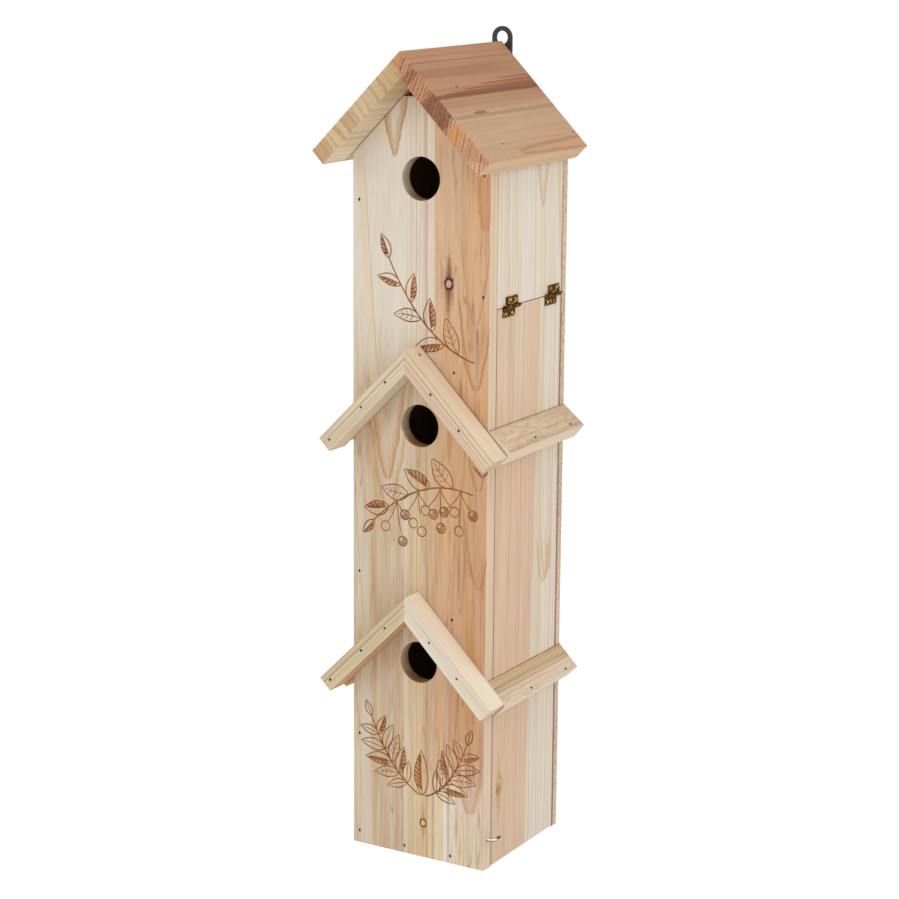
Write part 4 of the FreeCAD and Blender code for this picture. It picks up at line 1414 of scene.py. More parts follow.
@dataclass(frozen=True)
class Gables:
    """Two small gables on the front."""

    line: Colour = paint(150, 104, 70)
    front: float = -0.0795
    wall: float = -0.058

    def marks(self, hand: float, apex: float, below: Colour, share: float) -> tuple[Flame, ...]:
        """Lines along a board, a dark line at the joint with the wall that is painted contact shadow, and
        painted light and shade on a right board's top or a left board's underside.

        Args:
            hand: 1 for a right board, -1 for a left one.
            apex: Height of the board's top.
            below: Painted light and shade for a right board's top or a left board's underside.
            share: Strength of the lines.

        Returns:
            The marks.
        """
        along = (hand * ROOT_HALF, 0.0, -ROOT_HALF)
        upright = (hand * ROOT_HALF, 0.0, ROOT_HALF)
        # Painted light and shade on a right board's top or a left board's underside.
        tone = Flame(
            (-hand * BEYOND, self.wall, apex + BEYOND), along, 0.06, RUN, below, below, side=FORWARD,
            blunt=0.0, both=False, strength=0.6
        )
        # Painted contact shadow: a dark line where the board meets the wall.
        joint = Flame(
            (-hand * BEYOND, self.wall - 0.0005, apex + BEYOND), along, JOINT, RUN, paint(122, 74, 46),
            paint(150, 100, 68), side=BACKWARD, blunt=0.0, soft=0.4, strength=0.85 * share
        )
        lines = [
            Flame(
                (-hand * BEYOND, self.front, apex + BEYOND - depth / ROOT_HALF), along, JOINT / 2, RUN,
                self.line, self.line, side=upright, blunt=0.0, soft=0.6, strength=share * strength
            )
            for depth, strength in ((0.0003, 0.5), (0.0046, 0.45), (0.0079, 0.3))
        ]
        return (tone, joint, *lines)

    def build(self) -> list[Object]:
        """Make the gable boards and return them."""
        # The below tones are painted light on the right tops (pale, white) and the upper left underside (pale),
        # and painted shade on the lower left underside (red).
        pale, red, white = paint(226, 206, 176), paint(204, 140, 94), paint(240, 226, 204)
        tones = (
            (
                "upper_gable_left", Grain.LEFT_SLOPE, paint(216, 202, 176), paint(176, 144, 104), pale, 0.8,
                0.21
            ),
            (
                "upper_gable_right", Grain.RIGHT_SLOPE, paint(225, 204, 180), paint(188, 144, 110), pale, 1.0,
                0.57
            ),
            ("lower_gable_left", Grain.LEFT_SLOPE, paint(213, 198, 164), paint(172, 140, 98), red, 1.0, 0.73),
            (
                "lower_gable_right", Grain.RIGHT_SLOPE, paint(226, 213, 190), paint(196, 172, 138), white,
                0.35, 0.05
            )
        )
        pieces = []
        for node, grain, early, late, below, share, seed in tones:
            low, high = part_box(node)
            middle = (low + high) / 2
            pith = (middle.x * 1.5, middle.y + 0.02, middle.z - 0.05)
            marks = self.marks(1.0 if middle.x > 0 else -1.0, high.z, below, share)
            finish = strip_finish(f"{node}_fir", grain, pith, early, late, seed, marks)
            pieces.append(Board(node, "strip_wood", Profile.SLOPE, finish).build())
        return pieces


@dataclass(frozen=True)
class Slats:
    """Two sloped slats on the left wall and two on the door; the upper ones lie flatter."""

    upper_pitch: float = math.radians(39)

    def build(self) -> list[Object]:
        """Make the slats and return them."""
        pieces = []
        for side, body, seed in (("left", "house", 0.34), ("door", "door", 0.09)):
            for level in ("upper", "lower"):
                node = f"{side}_slat_{level}"
                low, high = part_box(node)
                middle = (low + high) / 2
                if level == "upper":
                    pitch = self.upper_pitch
                    pith = (middle.x * 1.6, 0.0, middle.z - 0.06)
                    # The cut ends are painted pale (240, 222, 192): painted light against the shade in the gap
                    # at the gable.
                    finish = strip_finish(
                        f"{node}_fir", Grain.BACK, pith, paint(215, 191, 161), paint(176, 138, 100), seed,
                        slat_marks(low, high, pitch), paint(240, 222, 192), contrast=0.25, curl=1.0,
                        fades=(Fade("Y", 0.012, 0.045, (0.94, 0.91, 0.87)),)
                    )
                else:
                    pitch = Board.pitch
                    finish = lined_slat(f"{node}_fir", low, high)
                pieces.append(
                    Board(node, "strip_wood", Profile.SLOPE, finish, body=body, pitch=pitch).build()
                )
        return pieces


@dataclass(frozen=True)
class CleanOutDoor:
    """Hung door on the right side."""

    def build(self) -> list[Object]:
        """Make the door board and return it."""
        return [Board("clean_out_door", "side_wood", Profile.BOX, DOOR, body="door", arris=0.00015).build()]


# Fasteners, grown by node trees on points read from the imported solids


def outer_ends(node: str, outward: Triple, mirrored: bool = False) -> list[Vector]:
    """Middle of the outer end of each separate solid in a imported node.

    Args:
        node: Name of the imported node.
        outward: Direction in which the heads look.
        mirrored: Whether that direction is mirrored for solids at negative X.

    Returns:
        One point for each solid.
    """
    bm = bmesh.new()
    bm.from_mesh(bpy.data.objects[node].data)
    bmesh.ops.remove_doubles(bm, verts=bm.verts[:], dist=SAME)
    left = set(bm.verts)
    ends = []
    while left:
        island = [left.pop()]
        for vert in island:
            fresh = [edge.other_vert(vert) for edge in vert.link_edges if edge.other_vert(vert) in left]
            left.difference_update(fresh)
            island += fresh
        middle = sum((vert.co for vert in island), Vector()) / len(island)
        look = Vector(outward)
        if mirrored and middle.x < 0:
            look.x = -look.x
        reach = max(vert.co.dot(look) for vert in island)
        tops = [vert.co for vert in island if reach - vert.co.dot(look) < LEVEL]
        ends.append(sum(tops, Vector()) / len(tops))
    bm.free()
    return sorted(ends, key=lambda end: tuple(round(part, 5) for part in end))


class GrowthTree:
    """Node tree that grows pieces on points or lines, with named inputs for their sizes."""

    def __init__(self, name: str, sizes: Sequence[str], seeded: bool = True) -> None:
        """Make the tree with its named inputs.

        Args:
            name: Name of the tree.
            sizes: Names of its number inputs.
            seeded: Whether it has an input for the seed of what is random.
        """
        self.tree = bpy.data.node_groups.new(name, "GeometryNodeTree")
        kinds = {"Geometry": "Geometry"} | dict.fromkeys(sizes, "Float")
        kinds |= {"Seed": "Int", "Material": "Material"} if seeded else {"Material": "Material"}
        for label, kind in kinds.items():
            self.tree.interface.new_socket(label, in_out="INPUT", socket_type=f"NodeSocket{kind}")
        self.tree.interface.new_socket("Geometry", in_out="OUTPUT", socket_type="NodeSocketGeometry")
        self.nodes = Nodes(self.tree)
        self.entry = self.nodes.add("NodeGroupInput").outputs

    def dressed(self, grown: Socket) -> NodeTree:
        """Realize what has grown, give it its material and hand over the tree.

        Args:
            grown: Geometry that has grown.

        Returns:
            The finished tree.
        """
        solid = self.nodes.add("GeometryNodeRealizeInstances", {0: grown})
        inputs = {"Geometry": solid.outputs[0], "Material": self.entry["Material"]}
        coated = self.nodes.add("GeometryNodeSetMaterial", inputs)
        self.nodes.add("NodeGroupOutput", {0: coated.outputs[0]})
        return self.tree

    def set_on_points(self, head: Socket) -> NodeTree:
        """Set a head on every point, turned by the point's own directions.

        Args:
            head: Geometry of one head, looking along Z.

        Returns:
            The finished tree.
        """
        n = self.nodes
        inputs = {"Vector": n.attribute("facing", "FLOAT_VECTOR")}
        turn = n.add("FunctionNodeAlignRotationToVector", inputs, axis="Z").outputs[0]
        inputs = {"Rotation": turn, "Vector": n.attribute("along", "FLOAT_VECTOR")}
        turn = n.add("FunctionNodeAlignRotationToVector", inputs, axis="Y", pivot_axis="Z").outputs[0]
        spread = n.add("FunctionNodeRandomValue", {"Seed": self.entry["Seed"]}, data_type="FLOAT")
        n.feed(spread.inputs[2], 0.9)
        n.feed(spread.inputs[3], 1.1)
        placed = n.add(
            "GeometryNodeInstanceOnPoints",
            {"Points": self.entry["Geometry"], "Instance": head, "Rotation": turn, "Scale": spread.outputs[1]}
        )
        return self.dressed(placed.outputs[0])


def nail_tree() -> NodeTree:
    """Small oval nail heads with a punch mark."""
    made = GrowthTree("nail_heads", ("Width", "Length", "Proud", "Sunk"))
    n, entry = made.nodes, made.entry
    deep = n.math("ADD", entry["Proud"], entry["Sunk"])
    disc = n.add(
        "GeometryNodeMeshCone", {"Vertices": 16, "Radius Top": 0.42, "Radius Bottom": 0.5, "Depth": 1.0}
    )
    inputs = {"Mesh": disc.outputs["Mesh"], "Selection": disc.outputs["Top"], "Offset Scale": 0.0}
    inner = n.add("GeometryNodeExtrudeMesh", inputs)
    narrowed = n.add(
        "GeometryNodeScaleElements",
        {"Geometry": inner.outputs["Mesh"], "Selection": inner.outputs["Top"], "Scale": 0.55}
    )
    punched = n.add(
        "GeometryNodeSetPosition",
        {"Geometry": narrowed.outputs[0], "Selection": inner.outputs["Top"], "Offset": (0.0, 0.0, -0.12)}
    )
    seat = n.joined(0.0, 0.0, n.times(entry["Sunk"], -1.0))
    size = n.joined(entry["Width"], entry["Length"], deep)
    head = n.add(
        "GeometryNodeTransform", {"Geometry": punched.outputs[0], "Translation": seat, "Scale": size}
    )
    return made.set_on_points(head.outputs[0])


def tack_tree() -> NodeTree:
    """Domed tack heads."""
    made = GrowthTree("tack_heads", ("Width", "Proud"))
    n, entry = made.nodes, made.entry
    ball = n.add("GeometryNodeMeshUVSphere", {"Segments": 18, "Rings": 10, "Radius": 0.5})
    size = n.joined(entry["Width"], entry["Width"], n.times(entry["Proud"], 2.0))
    head = n.add("GeometryNodeTransform", {"Geometry": ball.outputs[0], "Scale": size})
    return made.set_on_points(head.outputs[0])


def screw_tree() -> NodeTree:
    """Domed screw heads with a cross recess."""
    made = GrowthTree("screw_heads", ("Width", "Proud", "Slot"))
    n, entry = made.nodes, made.entry
    ball = n.add("GeometryNodeMeshUVSphere", {"Segments": 28, "Rings": 16, "Radius": 0.5})
    size = n.joined(entry["Width"], entry["Width"], n.times(entry["Proud"], 2.0))
    dome = n.add("GeometryNodeTransform", {"Geometry": ball.outputs[0], "Scale": size})
    reach = n.times(entry["Width"], 0.58)
    lift = n.joined(0.0, 0.0, entry["Proud"])
    head = dome.outputs[0]
    for across, deep in ((reach, entry["Slot"]), (entry["Slot"], reach)):
        bar = n.add("GeometryNodeMeshCube", {"Size": n.joined(across, deep, entry["Proud"])})
        moved = n.add("GeometryNodeTransform", {"Geometry": bar.outputs[0], "Translation": lift})
        cut = n.add("GeometryNodeMeshBoolean", {"Mesh 1": head, "Mesh 2": moved.outputs[0]}, solver="EXACT")
        head = cut.outputs[0]
    return made.set_on_points(head)


def grown(name: str, source: Object, tree: NodeTree, values: dict[str, Any]) -> Object:
    """Plain mesh of what a node tree makes of an object, which is then removed.

    Args:
        name: Name of the new piece.
        source: Object that carries the points or lines.
        tree: Node tree.
        values: Values of its inputs, by name.

    Returns:
        The new piece.
    """
    modifier = source.modifiers.new(name, "NODES")
    modifier.node_group = tree
    for item in tree.interface.items_tree:
        if item.item_type == "SOCKET" and item.in_out == "INPUT" and item.name in values:
            modifier[item.identifier] = values[item.name]
    depsgraph = bpy.context.evaluated_depsgraph_get()
    mesh = bpy.data.meshes.new_from_object(source.evaluated_get(depsgraph), depsgraph=depsgraph)
    source.modifiers.remove(modifier)
    bpy.data.objects.remove(source)
    mesh.name = name
    return linked(name, mesh)


@dataclass(frozen=True)
class HeadRow:
    """Heads of one packed fastener node: where they look, and which way they lie."""

    node: str
    outward: Triple
    facing: Triple
    along: Triple = UPWARD
    mirrored: bool = False
    upper: tuple[float, Triple] | None = None

    def points(self) -> list[tuple[Vector, Vector, Vector]]:
        """Place, facing and lie of each head."""
        found = []
        for end in outer_ends(self.node, self.outward, self.mirrored):
            facing, along = Vector(self.facing), Vector(self.along)
            if self.upper and end.z > self.upper[0]:
                facing = Vector(self.upper[1])
            if self.mirrored and end.x < 0:
                facing.x = -facing.x
                along.x = -along.x
            found.append((end, facing.normalized(), along.normalized()))
        return found


def point_cloud(name: str, rows: Iterable[HeadRow]) -> Object:
    """Object of loose points that carry the directions of their heads.

    Args:
        name: Name of the points.
        rows: Rows of heads.

    Returns:
        The new object.
    """
    points = [point for row in rows for point in row.points()]
    mesh = bpy.data.meshes.new(name)
    mesh.from_pydata([place for place, _, _ in points], [], [])
    for label, index in (("facing", 1), ("along", 2)):
        layer = mesh.attributes.new(label, "FLOAT_VECTOR", "POINT")
        layer.data.foreach_set("vector", [part for point in points for part in point[index]])
    return linked(f"{name}_points", mesh)


@dataclass(frozen=True)
class Nails:
    """Nails of the walls, gables, roof and slats."""

    width: float = 0.0019
    length: float = 0.0028
    proud: float = 0.00012
    sunk: float = 0.0005
    finish: MetalFinish = MetalFinish(
        "nail_steel", paint(54, 35, 22), paint(20, 11, 6), 700.0, 0.3, 0.6, 0.0, 0.6, 0.8
    )
    roof_finish: MetalFinish = MetalFinish(
        "sunk_nail", paint(150, 106, 80), paint(104, 68, 48), 700.0, 0.3, 0.6, 0.0, 0.6, 0.8
    )

    def build(self) -> list[Object]:
        """Make the nail heads of each body and return them."""
        slope = (1.0, 0.0, 1.0)
        down = (1.0, 0.0, -1.0)
        upper_slat = (0.3, (math.sin(Slats.upper_pitch), 0.0, math.cos(Slats.upper_pitch)))
        house = (
            HeadRow("front_brads", FORWARD, FORWARD), HeadRow("back_brads", BACKWARD, BACKWARD),
            HeadRow("gable_brads", FORWARD, FORWARD, down, mirrored=True),
            HeadRow("apex_brad", slope, slope, down),
            HeadRow("left_slat_brads", RIGHTWARD, slope, BACKWARD, mirrored=True, upper=upper_slat)
        )
        door = (HeadRow("door_slat_brads", RIGHTWARD, slope, BACKWARD, upper=upper_slat),)
        roof = (HeadRow("roof_brads", slope, slope, BACKWARD, mirrored=True),)
        tree = nail_tree()
        dark, sunk = self.finish.material(), self.roof_finish.material()
        values = {
            "Width": self.width, "Length": self.length, "Proud": self.proud, "Sunk": self.sunk, "Seed": 3
        }
        pieces = []
        for name, body, rows, material in (
            ("wall", "house", house, dark), ("roof", "house", roof, sunk), ("door", "door", door, dark)
        ):
            cloud = point_cloud(f"{name}_nails", rows)
            piece = grown(f"{name}_nail_heads", cloud, tree, values | {"Material": material})
            pieces.append(settle(piece, material, body, "nail_steel", *(row.node for row in rows)))
        return pieces


@dataclass(frozen=True)
class Hinges:
    """Two brass hinges: leaves and pins as packed, tacks with domed heads."""

    tack_width: float = 0.0024
    tack_proud: float = 0.0005
    finish: MetalFinish = MetalFinish(
        "antiqued_brass", paint(234, 188, 104), paint(70, 45, 19), 430.0, 0.345, 0.445, 1.0, 0.2, 0.4,
        sheen=(0.9, 0.74, 0.56)
    )
    # The tack heads are painted darker on the faces that look down, as painted shade.
    tack_finish: MetalFinish = MetalFinish(
        "rubbed_brass", paint(246, 220, 156), paint(110, 74, 28), 300.0, 0.42, 0.62, 1.0, 0.15, 0.35,
        painted_down_shade=0.9, sheen=(0.9, 0.7, 0.45)
    )

    def build(self) -> list[Object]:
        """Dress the leaves and pins, make the tacks and return them."""
        for hinge in ("front_hinge", "rear_hinge"):
            for part in ("upper_leaf", "lower_leaf", "pin"):
                leaf = bpy.data.objects[f"{hinge}_{part}"]
                leaf.data.materials.clear()
                leaf.data.materials.append(self.finish.material(None if part == "pin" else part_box(leaf.name)))
        material = self.tack_finish.material()
        tree = tack_tree()
        values = {"Width": self.tack_width, "Proud": self.tack_proud, "Seed": 5, "Material": material}
        pieces = []
        for body, node in (("house", "hinge_tacks_wall"), ("door", "hinge_tacks_door")):
            row = HeadRow(node, RIGHTWARD, RIGHTWARD)
            cloud = point_cloud(node, [row])
            cloud.data.transform(Matrix.Translation((-self.tack_proud, 0.0, 0.0)))
            piece = grown(f"{node}_heads", cloud, tree, values)
            pieces.append(settle(piece, material, body, "hinge_brass", node))
        return pieces


@dataclass(frozen=True)
class TurnHook:
    """Screw hook bent square: its threaded root stands in the edge of the front panel."""

    root: Triple = mm(SIDE_FACE, -54.5, 24.5)
    tilt: float = math.radians(6)
    wire: float = 0.0011
    reach: float = 0.007
    arm: float = 0.009
    bend: float = 0.0025
    sunk: float = 0.004
    thread_end: float = 0.0042
    thread_pitch: float = 0.0014
    thread_height: float = 0.00028
    around: int = 28
    # The hook is painted darker on the faces that look down and on its arm past Y -52.4 mm, as painted shade.
    finish: MetalFinish = MetalFinish(
        "zinc_plate", paint(222, 222, 220), paint(70, 58, 50), 420.0, 0.5, 0.8, 1.0, 0.16, 0.34, bump=0.1,
        painted_down_shade=1.0, painted_shade_from=-0.0524
    )

    def path(self) -> list[tuple[Vector, Vector]]:
        """Points and directions along the wire, in the hook's own frame."""
        straight = self.reach - self.bend
        run = self.sunk + straight
        steps = round(run / (self.thread_pitch / 10))
        line = [(Vector((-self.sunk + run * step / steps, 0, 0)), Vector((1, 0, 0))) for step in range(steps)]
        for step in range(13):
            turn = math.pi / 2 * step / 12
            spot = Vector((straight + self.bend * math.sin(turn), self.bend * (1 - math.cos(turn)), 0))
            line.append((spot, Vector((math.cos(turn), math.sin(turn), 0))))
        rest = self.arm - self.bend
        line += [
            (Vector((self.reach, self.bend + rest * step / 4, 0)), Vector((0, 1, 0)))
            for step in range(1, 5)
        ]
        return line

    def girth(self, spot: Vector, turn: float, along: Vector) -> float:
        """Radius of the wire at a point and an angle round it.

        Args:
            spot: Point on its middle line.
            turn: Angle round that.
            along: Direction of the wire there.

        Returns:
            The radius.
        """
        if along.x < 0.999 or spot.x > self.thread_end:
            return self.wire
        crest = math.cos(turn - 2 * math.pi * spot.x / self.thread_pitch)
        fade = min(1.0, (self.thread_end - spot.x) / self.thread_pitch)
        return self.wire - 0.3 * self.thread_height + self.thread_height * fade * max(0.0, crest) ** 2

    def build(self) -> list[Object]:
        """Make the hook and return it."""
        bm = bmesh.new()
        up = Vector(UPWARD)
        rings = []
        *line, (tip, ahead) = self.path()
        stations = [(spot, along, 1.0) for spot, along in line]
        for short, share in ((0.6, 1.0), (0.15, 0.86), (0.0, 0.55)):
            stations.append((tip - ahead * self.wire * short, ahead, share))
        for spot, along, share in stations:
            aside = up.cross(along).normalized()
            ring = []
            for index in range(self.around):
                turn = 2 * math.pi * index / self.around
                radius = self.girth(spot, turn, along) * share
                ring.append(
                    bm.verts.new(spot + aside * math.cos(turn) * radius + up * math.sin(turn) * radius)
                )
            rings.append(ring)
        for first, second in zip(rings, rings[1:]):
            for index in range(self.around):
                bm.faces.new((first[index - 1], first[index], second[index], second[index - 1]))
        bm.faces.new(rings[0])
        bm.faces.new(rings[-1])
        bmesh.ops.recalc_face_normals(bm, faces=bm.faces[:])
        for face in bm.faces:
            face.smooth = True
        bm.transform(Matrix.Translation(self.root) @ Matrix.Rotation(-self.tilt, 4, "Y"))
        mesh = bpy.data.meshes.new("screw_hook")
        bm.to_mesh(mesh)
        bm.free()
        piece = linked("screw_hook", mesh)
        return [settle(piece, self.finish.material(), "hook", "hook_zinc", "turn_hook")]


@dataclass(frozen=True)
class HangerStrap:
    """Black steel strap with round ends on the back, and its two screws."""

    hole_radius: float = 0.005
    arris: float = 0.0003
    screw_width: float = 0.0068
    screw_proud: float = 0.0018
    screw_slot: float = 0.0009
    finish: MetalFinish = MetalFinish(
        "black_coat", paint(34, 34, 35), paint(20, 20, 21), 260.0, 0.35, 0.7, 0.0, 0.42, 0.62
    )

    def build(self) -> list[Object]:
        """Make the strap and the screws and return them."""
        low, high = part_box("hanger_strap")
        half = high.x
        round_end = circle((0.0, 0.0), half, 64)
        tops = [(x, z + high.z - half) for x, z in round_end[:33]]
        feet = [(x, z + low.z + half) for x, z in (*round_end[32:], round_end[0])]
        hole = circle((0.0, high.z - half), self.hole_radius, 48)
        strap = linked("strap", prism("strap", tops + feet, low.y, high.y, self.arris, [hole]))
        material = self.finish.material()
        pieces = [settle(strap, material, "house", "strap_black", "hanger_strap")]
        cloud = point_cloud("strap_screws", [HeadRow("hanger_screws", BACKWARD, BACKWARD)])
        cloud.data.transform(Matrix.Translation((0.0, -self.screw_proud, 0.0)))
        values = {
            "Width": self.screw_width, "Proud": self.screw_proud, "Slot": self.screw_slot, "Seed": 2,
            "Material": material
        }
        screws = grown("strap_screw_heads", cloud, screw_tree(), values)
        pieces.append(settle(screws, material, "house", "strap_black", "hanger_screws"))
        return pieces


@dataclass(frozen=True)
class Stroke:
    """Burnt line on the front: points as X and Z in millimetres, and its width."""

    points: tuple[Flat, ...]
    width: float = 0.8


class Sprig:
    """Strokes of one burnt sprig: stems, leaves and berries."""

    def __init__(self) -> None:
        """Start with no strokes."""
        self.strokes: list[Stroke] = []

    def draw(self, points: Iterable[Flat], width: float) -> None:
        """Draw one stroke through points."""
        self.strokes.append(Stroke(tuple(points), width))

    def stem(
        self, start: Flat, pull: Flat, end: Flat, width: float = 1.0
    ) -> Callable[[float], tuple[Flat, float]]:
        """Draw a bowed stem.

        Args:
            start: Foot of the stem.
            pull: Point that bows it.
            end: Tip of the stem.
            width: Width of the line.

        Returns:
            Function from a share of the stem to its point and heading in degrees.
        """

        def at(share: float) -> tuple[Flat, float]:
            """Point and heading at a share of the stem."""
            left = 1 - share
            spot = tuple(
                left * left * a + 2 * left * share * b + share * share * c
                for a, b, c in zip(start, pull, end)
            )
            run = [2 * left * (b - a) + 2 * share * (c - b) for a, b, c in zip(start, pull, end)]
            return spot, math.degrees(math.atan2(run[1], run[0]))

        self.draw((at(step / 24)[0] for step in range(25)), width)
        return at

    def leaf(
        self, foot: Flat, heading: float, length: float, breadth: float, curl: float, shaded: int = 0
    ) -> None:
        """Draw a pointed leaf.

        Args:
            foot: Where the leaf starts.
            heading: Its direction in degrees.
            length: Its length.
            breadth: Half of its width.
            curl: How far its midrib bows, as a share of its length.
            shaded: Side that is hatched, 1 or -1, or 0 for none.
        """
        ahead = (math.cos(math.radians(heading)), math.sin(math.radians(heading)))
        aside = (-ahead[1], ahead[0])

        def spot(share: float, off: float) -> Flat:
            """Point at a share of the length, off the midrib."""
            bow = curl * length * 4 * share * (1 - share) * 0.5 + off
            run = share * length
            return (foot[0] + ahead[0] * run + aside[0] * bow, foot[1] + ahead[1] * run + aside[1] * bow)

        def half(share: float) -> float:
            """Half width of the leaf at a share of its length."""
            return breadth * math.sin(math.pi * share**0.85) ** 0.9 if 0 < share < 1 else 0.0

        steps = [step / 14 for step in range(15)]
        for side in (1, -1):
            self.draw((spot(share, side * half(share)) for share in steps), 0.95)
        self.draw((spot(share * 0.88, 0.0) for share in steps), 0.7)
        if shaded:
            count = max(5, round(length / 1.5))
            for index in range(1, count):
                share = 0.1 + 0.76 * index / count
                reach = half(min(0.97, share + 0.1)) * (0.94 if index % 3 else 0.7)
                tip = min(0.98, share + 0.1)
                self.draw((spot(share, 0.0), spot(tip, shaded * reach)), 1.15)
        elif length > 22:
            for share in (0.28, 0.45, 0.62):
                for side in (1, -1):
                    tip = share + 0.13
                    self.draw((spot(share, 0.0), spot(tip, side * half(tip) * 0.8)), 0.55)

    def berry(self, centre: Flat, radius: float, filled: bool) -> None:
        """Draw a round berry, with a dark side where it is filled."""
        ring = circle(centre, radius, 22)
        self.draw(ring + ring[:1], 0.95)
        if filled:
            for index in range(1, 7):
                drop = radius * (index / 3.5 - 1)
                wide = math.sqrt(max(0.0, radius * radius - drop * drop)) * 0.92
                start = centre[0] - wide * (0.15 if index < 4 else 0.9)
                self.draw(((start, centre[1] - drop), (centre[0] + wide, centre[1] - drop)), 0.95)


@dataclass(frozen=True)
class BurntSprigs:
    """Three sprigs burnt into the front, one on each storey."""

    flatness: float = 0.14
    finish: BurntFinish = BurntFinish("burnt_line", paint(168, 109, 54), paint(122, 70, 29))

    def leafy(self) -> Sprig:
        """Upper storey: a leafy twig."""
        sprig = Sprig()
        at = sprig.stem((46, 391), (2, 402), (-27, 462), 1.3)
        for index, share in enumerate((0.16, 0.3, 0.44, 0.57, 0.7, 0.83)):
            spot, heading = at(share)
            side = 1 if index % 2 else -1
            size = 30 - 11 * share
            sprig.leaf(spot, heading + side * 44, size, size * 0.2, -side * 0.1, side if index % 3 else 0)
        spot, heading = at(1.0)
        sprig.leaf(spot, heading - 4, 19, 3.8, -0.06, 1)
        return sprig

    def berried(self) -> Sprig:
        """Middle storey: a twig with berries."""
        sprig = Sprig()
        at = sprig.stem((46, 292), (2, 304), (-40, 262), 1.3)
        for index, share in enumerate((0.2, 0.42, 0.64, 0.84)):
            spot, heading = at(share)
            size = 29 - 8 * share
            sprig.leaf(spot, heading - 48 + 6 * index, size, size * 0.25, 0.08, -1 if index % 2 else 0)
        for index, share in enumerate((0.12, 0.32, 0.54, 0.76)):
            spot, _ = at(share)
            for branch, (lean, reach) in enumerate(((-36, 19), (0, 27), (34, 17))):
                turn = math.radians(-92 + lean + 4 * index)
                end = (spot[0] + reach * math.cos(turn), spot[1] + reach * math.sin(turn))
                pull = (spot[0] + 0.25 * reach * math.cos(turn), spot[1] + 0.55 * reach * math.sin(turn))
                sprig.stem(spot, pull, end, 0.75)
                drop = (end[0] + 3.8 * math.cos(turn), end[1] + 3.8 * math.sin(turn))
                sprig.berry(drop, 3.8, (branch + index) % 2 == 0)
        spot, heading = at(1.0)
        sprig.leaf(spot, heading + 2, 15, 3.4, 0.05, 1)
        return sprig

    def fern(self) -> Sprig:
        """Lower storey: two fern fronds and a small leaf between them."""
        sprig = Sprig()
        for foot, pull, tip, pairs in (((2, 50), (-24, 62), (-42, 106), 5), ((6, 50), (28, 56), (43, 98), 5)):
            at = sprig.stem(foot, pull, tip, 1.3)
            for index in range(pairs):
                share = 0.24 + 0.74 * index / pairs
                spot, heading = at(share)
                size = 21 * math.sin(math.pi * (0.26 + 0.62 * index / pairs)) + 2.5
                for side in (1, -1):
                    hatched = side if (index + side) % 3 == 0 else 0
                    sprig.leaf(
                        spot, heading + side * (56 - 2 * index), size, size * 0.2, -side * 0.08, hatched
                    )
            spot, heading = at(1.0)
            sprig.leaf(spot, heading, 13, 2.8, 0.04)
        sprig.leaf((4, 50), 92, 36, 6.0, 0.03, 1)
        return sprig

    def tree(self) -> NodeTree:
        """Node tree that turns lines into flat burnt strokes on a face."""
        made = GrowthTree("burnt_strokes", ("Flatness", "Face"), seeded=False)
        n, entry = made.nodes, made.entry
        width = n.attribute("width", "FLOAT")
        lines = n.add("GeometryNodeMeshToCurve", {"Mesh": entry["Geometry"]})
        ring = n.add("GeometryNodeCurvePrimitiveCircle", {"Resolution": 6, "Radius": 1.0})
        inputs = {
            "Curve": lines.outputs[0], "Profile Curve": ring.outputs[0], "Scale": width, "Fill Caps": True
        }
        tube = n.add("GeometryNodeCurveToMesh", inputs)
        flat = n.joined(1.0, entry["Flatness"], 1.0)
        seat = n.joined(0.0, entry["Face"], 0.0)
        laid = n.add(
            "GeometryNodeTransform", {"Geometry": tube.outputs[0], "Translation": seat, "Scale": flat}
        )
        return made.dressed(laid.outputs[0])

    def build(self) -> list[Object]:
        """Make the burnt strokes and return them."""
        verts: list[Triple] = []
        edges: list[tuple[int, int]] = []
        widths: list[float] = []
        for sprig in (self.leafy(), self.berried(), self.fern()):
            for stroke in sprig.strokes:
                first = len(verts)
                last = len(stroke.points) - 1
                for index, (across, high) in enumerate(stroke.points):
                    share = index / last
                    verts.append((across * MM, 0.0, high * MM))
                    swell = 0.72 + 0.28 * math.sin(math.pi * min(1.0, 0.1 + share))
                    widths.append(stroke.width * MM * 0.58 * swell)
                edges += [(first + index, first + index + 1) for index in range(last)]
        mesh = bpy.data.meshes.new("burnt_paths")
        mesh.from_pydata(verts, edges, [])
        layer = mesh.attributes.new("width", "FLOAT", "POINT")
        layer.data.foreach_set("value", widths)
        material = self.finish.material()
        low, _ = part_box("front_panel")
        values = {"Flatness": self.flatness, "Face": low.y, "Material": material}
        piece = grown("burnt_sprigs", linked("burnt_paths", mesh), self.tree(), values)
        return [settle(piece, material, "house", "front_wood")]


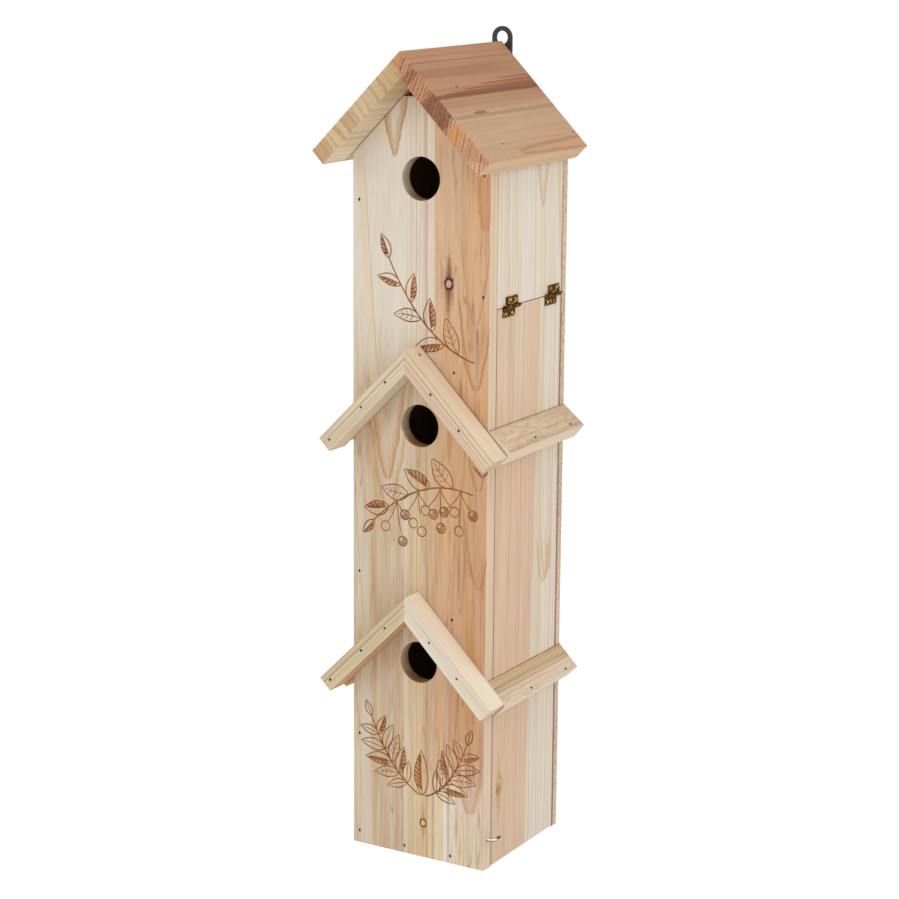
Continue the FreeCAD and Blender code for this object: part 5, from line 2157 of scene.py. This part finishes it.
@dataclass(frozen=True)
class Studio:
    """Pale floor, white surroundings, soft lamps and the camera."""

    azimuth: float = 30.6673
    elevation: float = 12.932
    roll: float = 0.4393
    distance: float = 1.86863
    aside: float = -0.0074505
    height: float = 0.3098766
    lens: float = 98.189
    sky: float = 0.7
    floor_light: float = 0.55
    floor_glow: float = 0.74
    floor_grey: float = 0.4
    floor_size: float = 60.0
    aim: Triple = (0.0, 0.0, 0.32)

    def camera(self) -> None:
        """Set up the camera."""
        turn, rise, roll = (math.radians(angle) for angle in (self.azimuth, self.elevation, self.roll))
        back = Vector((math.sin(turn) * math.cos(rise), -math.cos(turn) * math.cos(rise), math.sin(rise)))
        right = Vector((math.cos(turn), math.sin(turn), 0.0))
        up = back.cross(right)
        across = math.cos(roll) * right + math.sin(roll) * up
        upward = -math.sin(roll) * right + math.cos(roll) * up
        target = Vector((0.0, 0.0, self.height)) + right * self.aside
        place = target + back * self.distance
        data = bpy.data.cameras.new("photo_camera")
        data.sensor_width = 36.0
        data.lens = self.lens
        camera = bpy.data.objects.new("photo_camera", data)
        bpy.context.scene.collection.objects.link(camera)
        turned = Matrix((across, upward, back)).transposed()
        camera.matrix_world = Matrix.Translation(place) @ turned.to_4x4()
        bpy.context.scene.camera = camera

    @staticmethod
    def seen(n: Nodes) -> Socket:
        """Mask that is 1 for what the camera sees, also by gloss or through glass, and 0 for light."""
        rays = n.add("ShaderNodeLightPath").outputs
        bounced = n.math("MAXIMUM", rays["Is Glossy Ray"], rays["Is Transmission Ray"])
        return n.math("MAXIMUM", rays["Is Camera Ray"], bounced)

    def world(self) -> None:
        """White surroundings: plain to look at, softer as light."""
        world = bpy.data.worlds.new("studio")
        bpy.context.scene.world = world
        world.use_nodes = True
        world.node_tree.nodes.clear()
        n = Nodes(world.node_tree)
        strength = n.between(self.seen(n), self.sky, 1.0)
        light = n.add("ShaderNodeBackground", {"Color": (1.0, 1.0, 1.0, 1.0), "Strength": strength})
        n.add("ShaderNodeOutputWorld", {"Surface": light.outputs[0]})

    def floor(self) -> None:
        """White floor: plain to look at but for the soft shadow, and bright as light from below."""
        half = self.floor_size / 2
        mesh = bpy.data.meshes.new("floor")
        mesh.from_pydata(
            [(-half, -half, 0), (half, -half, 0), (half, half, 0), (-half, half, 0)], [], [(0, 1, 2, 3)]
        )
        floor = linked("floor", mesh)
        material, n, shader = blank_material("pale_floor")
        shader.inputs["Base Color"].default_value = (*[self.floor_grey] * 3, 1.0)
        shader.inputs["Roughness"].default_value = 1.0
        shader.inputs["Specular IOR Level"].default_value = 0.0
        shader.inputs["Emission Color"].default_value = (1.0, 1.0, 1.0, 1.0)
        n.feed(shader.inputs["Emission Strength"], n.between(self.seen(n), self.floor_light, self.floor_glow))
        mesh.materials.append(material)

    def lamp(self, name: str, place: Triple, size: float, power: float) -> None:
        """Soft square lamp that looks at the house.

        Args:
            name: Name of the lamp.
            place: Where it stands.
            size: Length of its sides.
            power: Its power in watts.
        """
        data = bpy.data.lights.new(name, "AREA")
        data.size = size
        data.energy = power
        lamp = bpy.data.objects.new(name, data)
        bpy.context.scene.collection.objects.link(lamp)
        lamp.location = place
        aim = Vector(self.aim) - Vector(place)
        lamp.rotation_euler = aim.to_track_quat("-Z", "Y").to_euler()

    def build(self) -> None:
        """Set the stage."""
        bpy.context.scene.view_settings.view_transform = "Standard"
        self.camera()
        self.world()
        self.floor()
        self.lamp("front_lamp", (-0.9, -2.0, 1.3), 1.6, 10.0)
        self.lamp("right_lamp", (2.0, -0.5, 1.1), 1.4, 8.0)
        self.lamp("top_lamp", (0.6, -0.5, 2.4), 1.4, 10.0)


def main() -> None:
    """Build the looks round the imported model, and write how large they are."""
    logging.basicConfig(level=logging.INFO, format="%(name)s %(message)s")
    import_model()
    pieces: list[Object] = []
    for assembly in (
        Walls(), Floors(), Roof(), Gables(), Slats(), CleanOutDoor(), Hinges(), TurnHook(), HangerStrap(),
        Nails(), BurntSprigs()
    ):
        pieces += assembly.build()
    Studio().build()
    LOG.info("%d pieces", len(pieces))


if __name__ == "__main__":
    main()
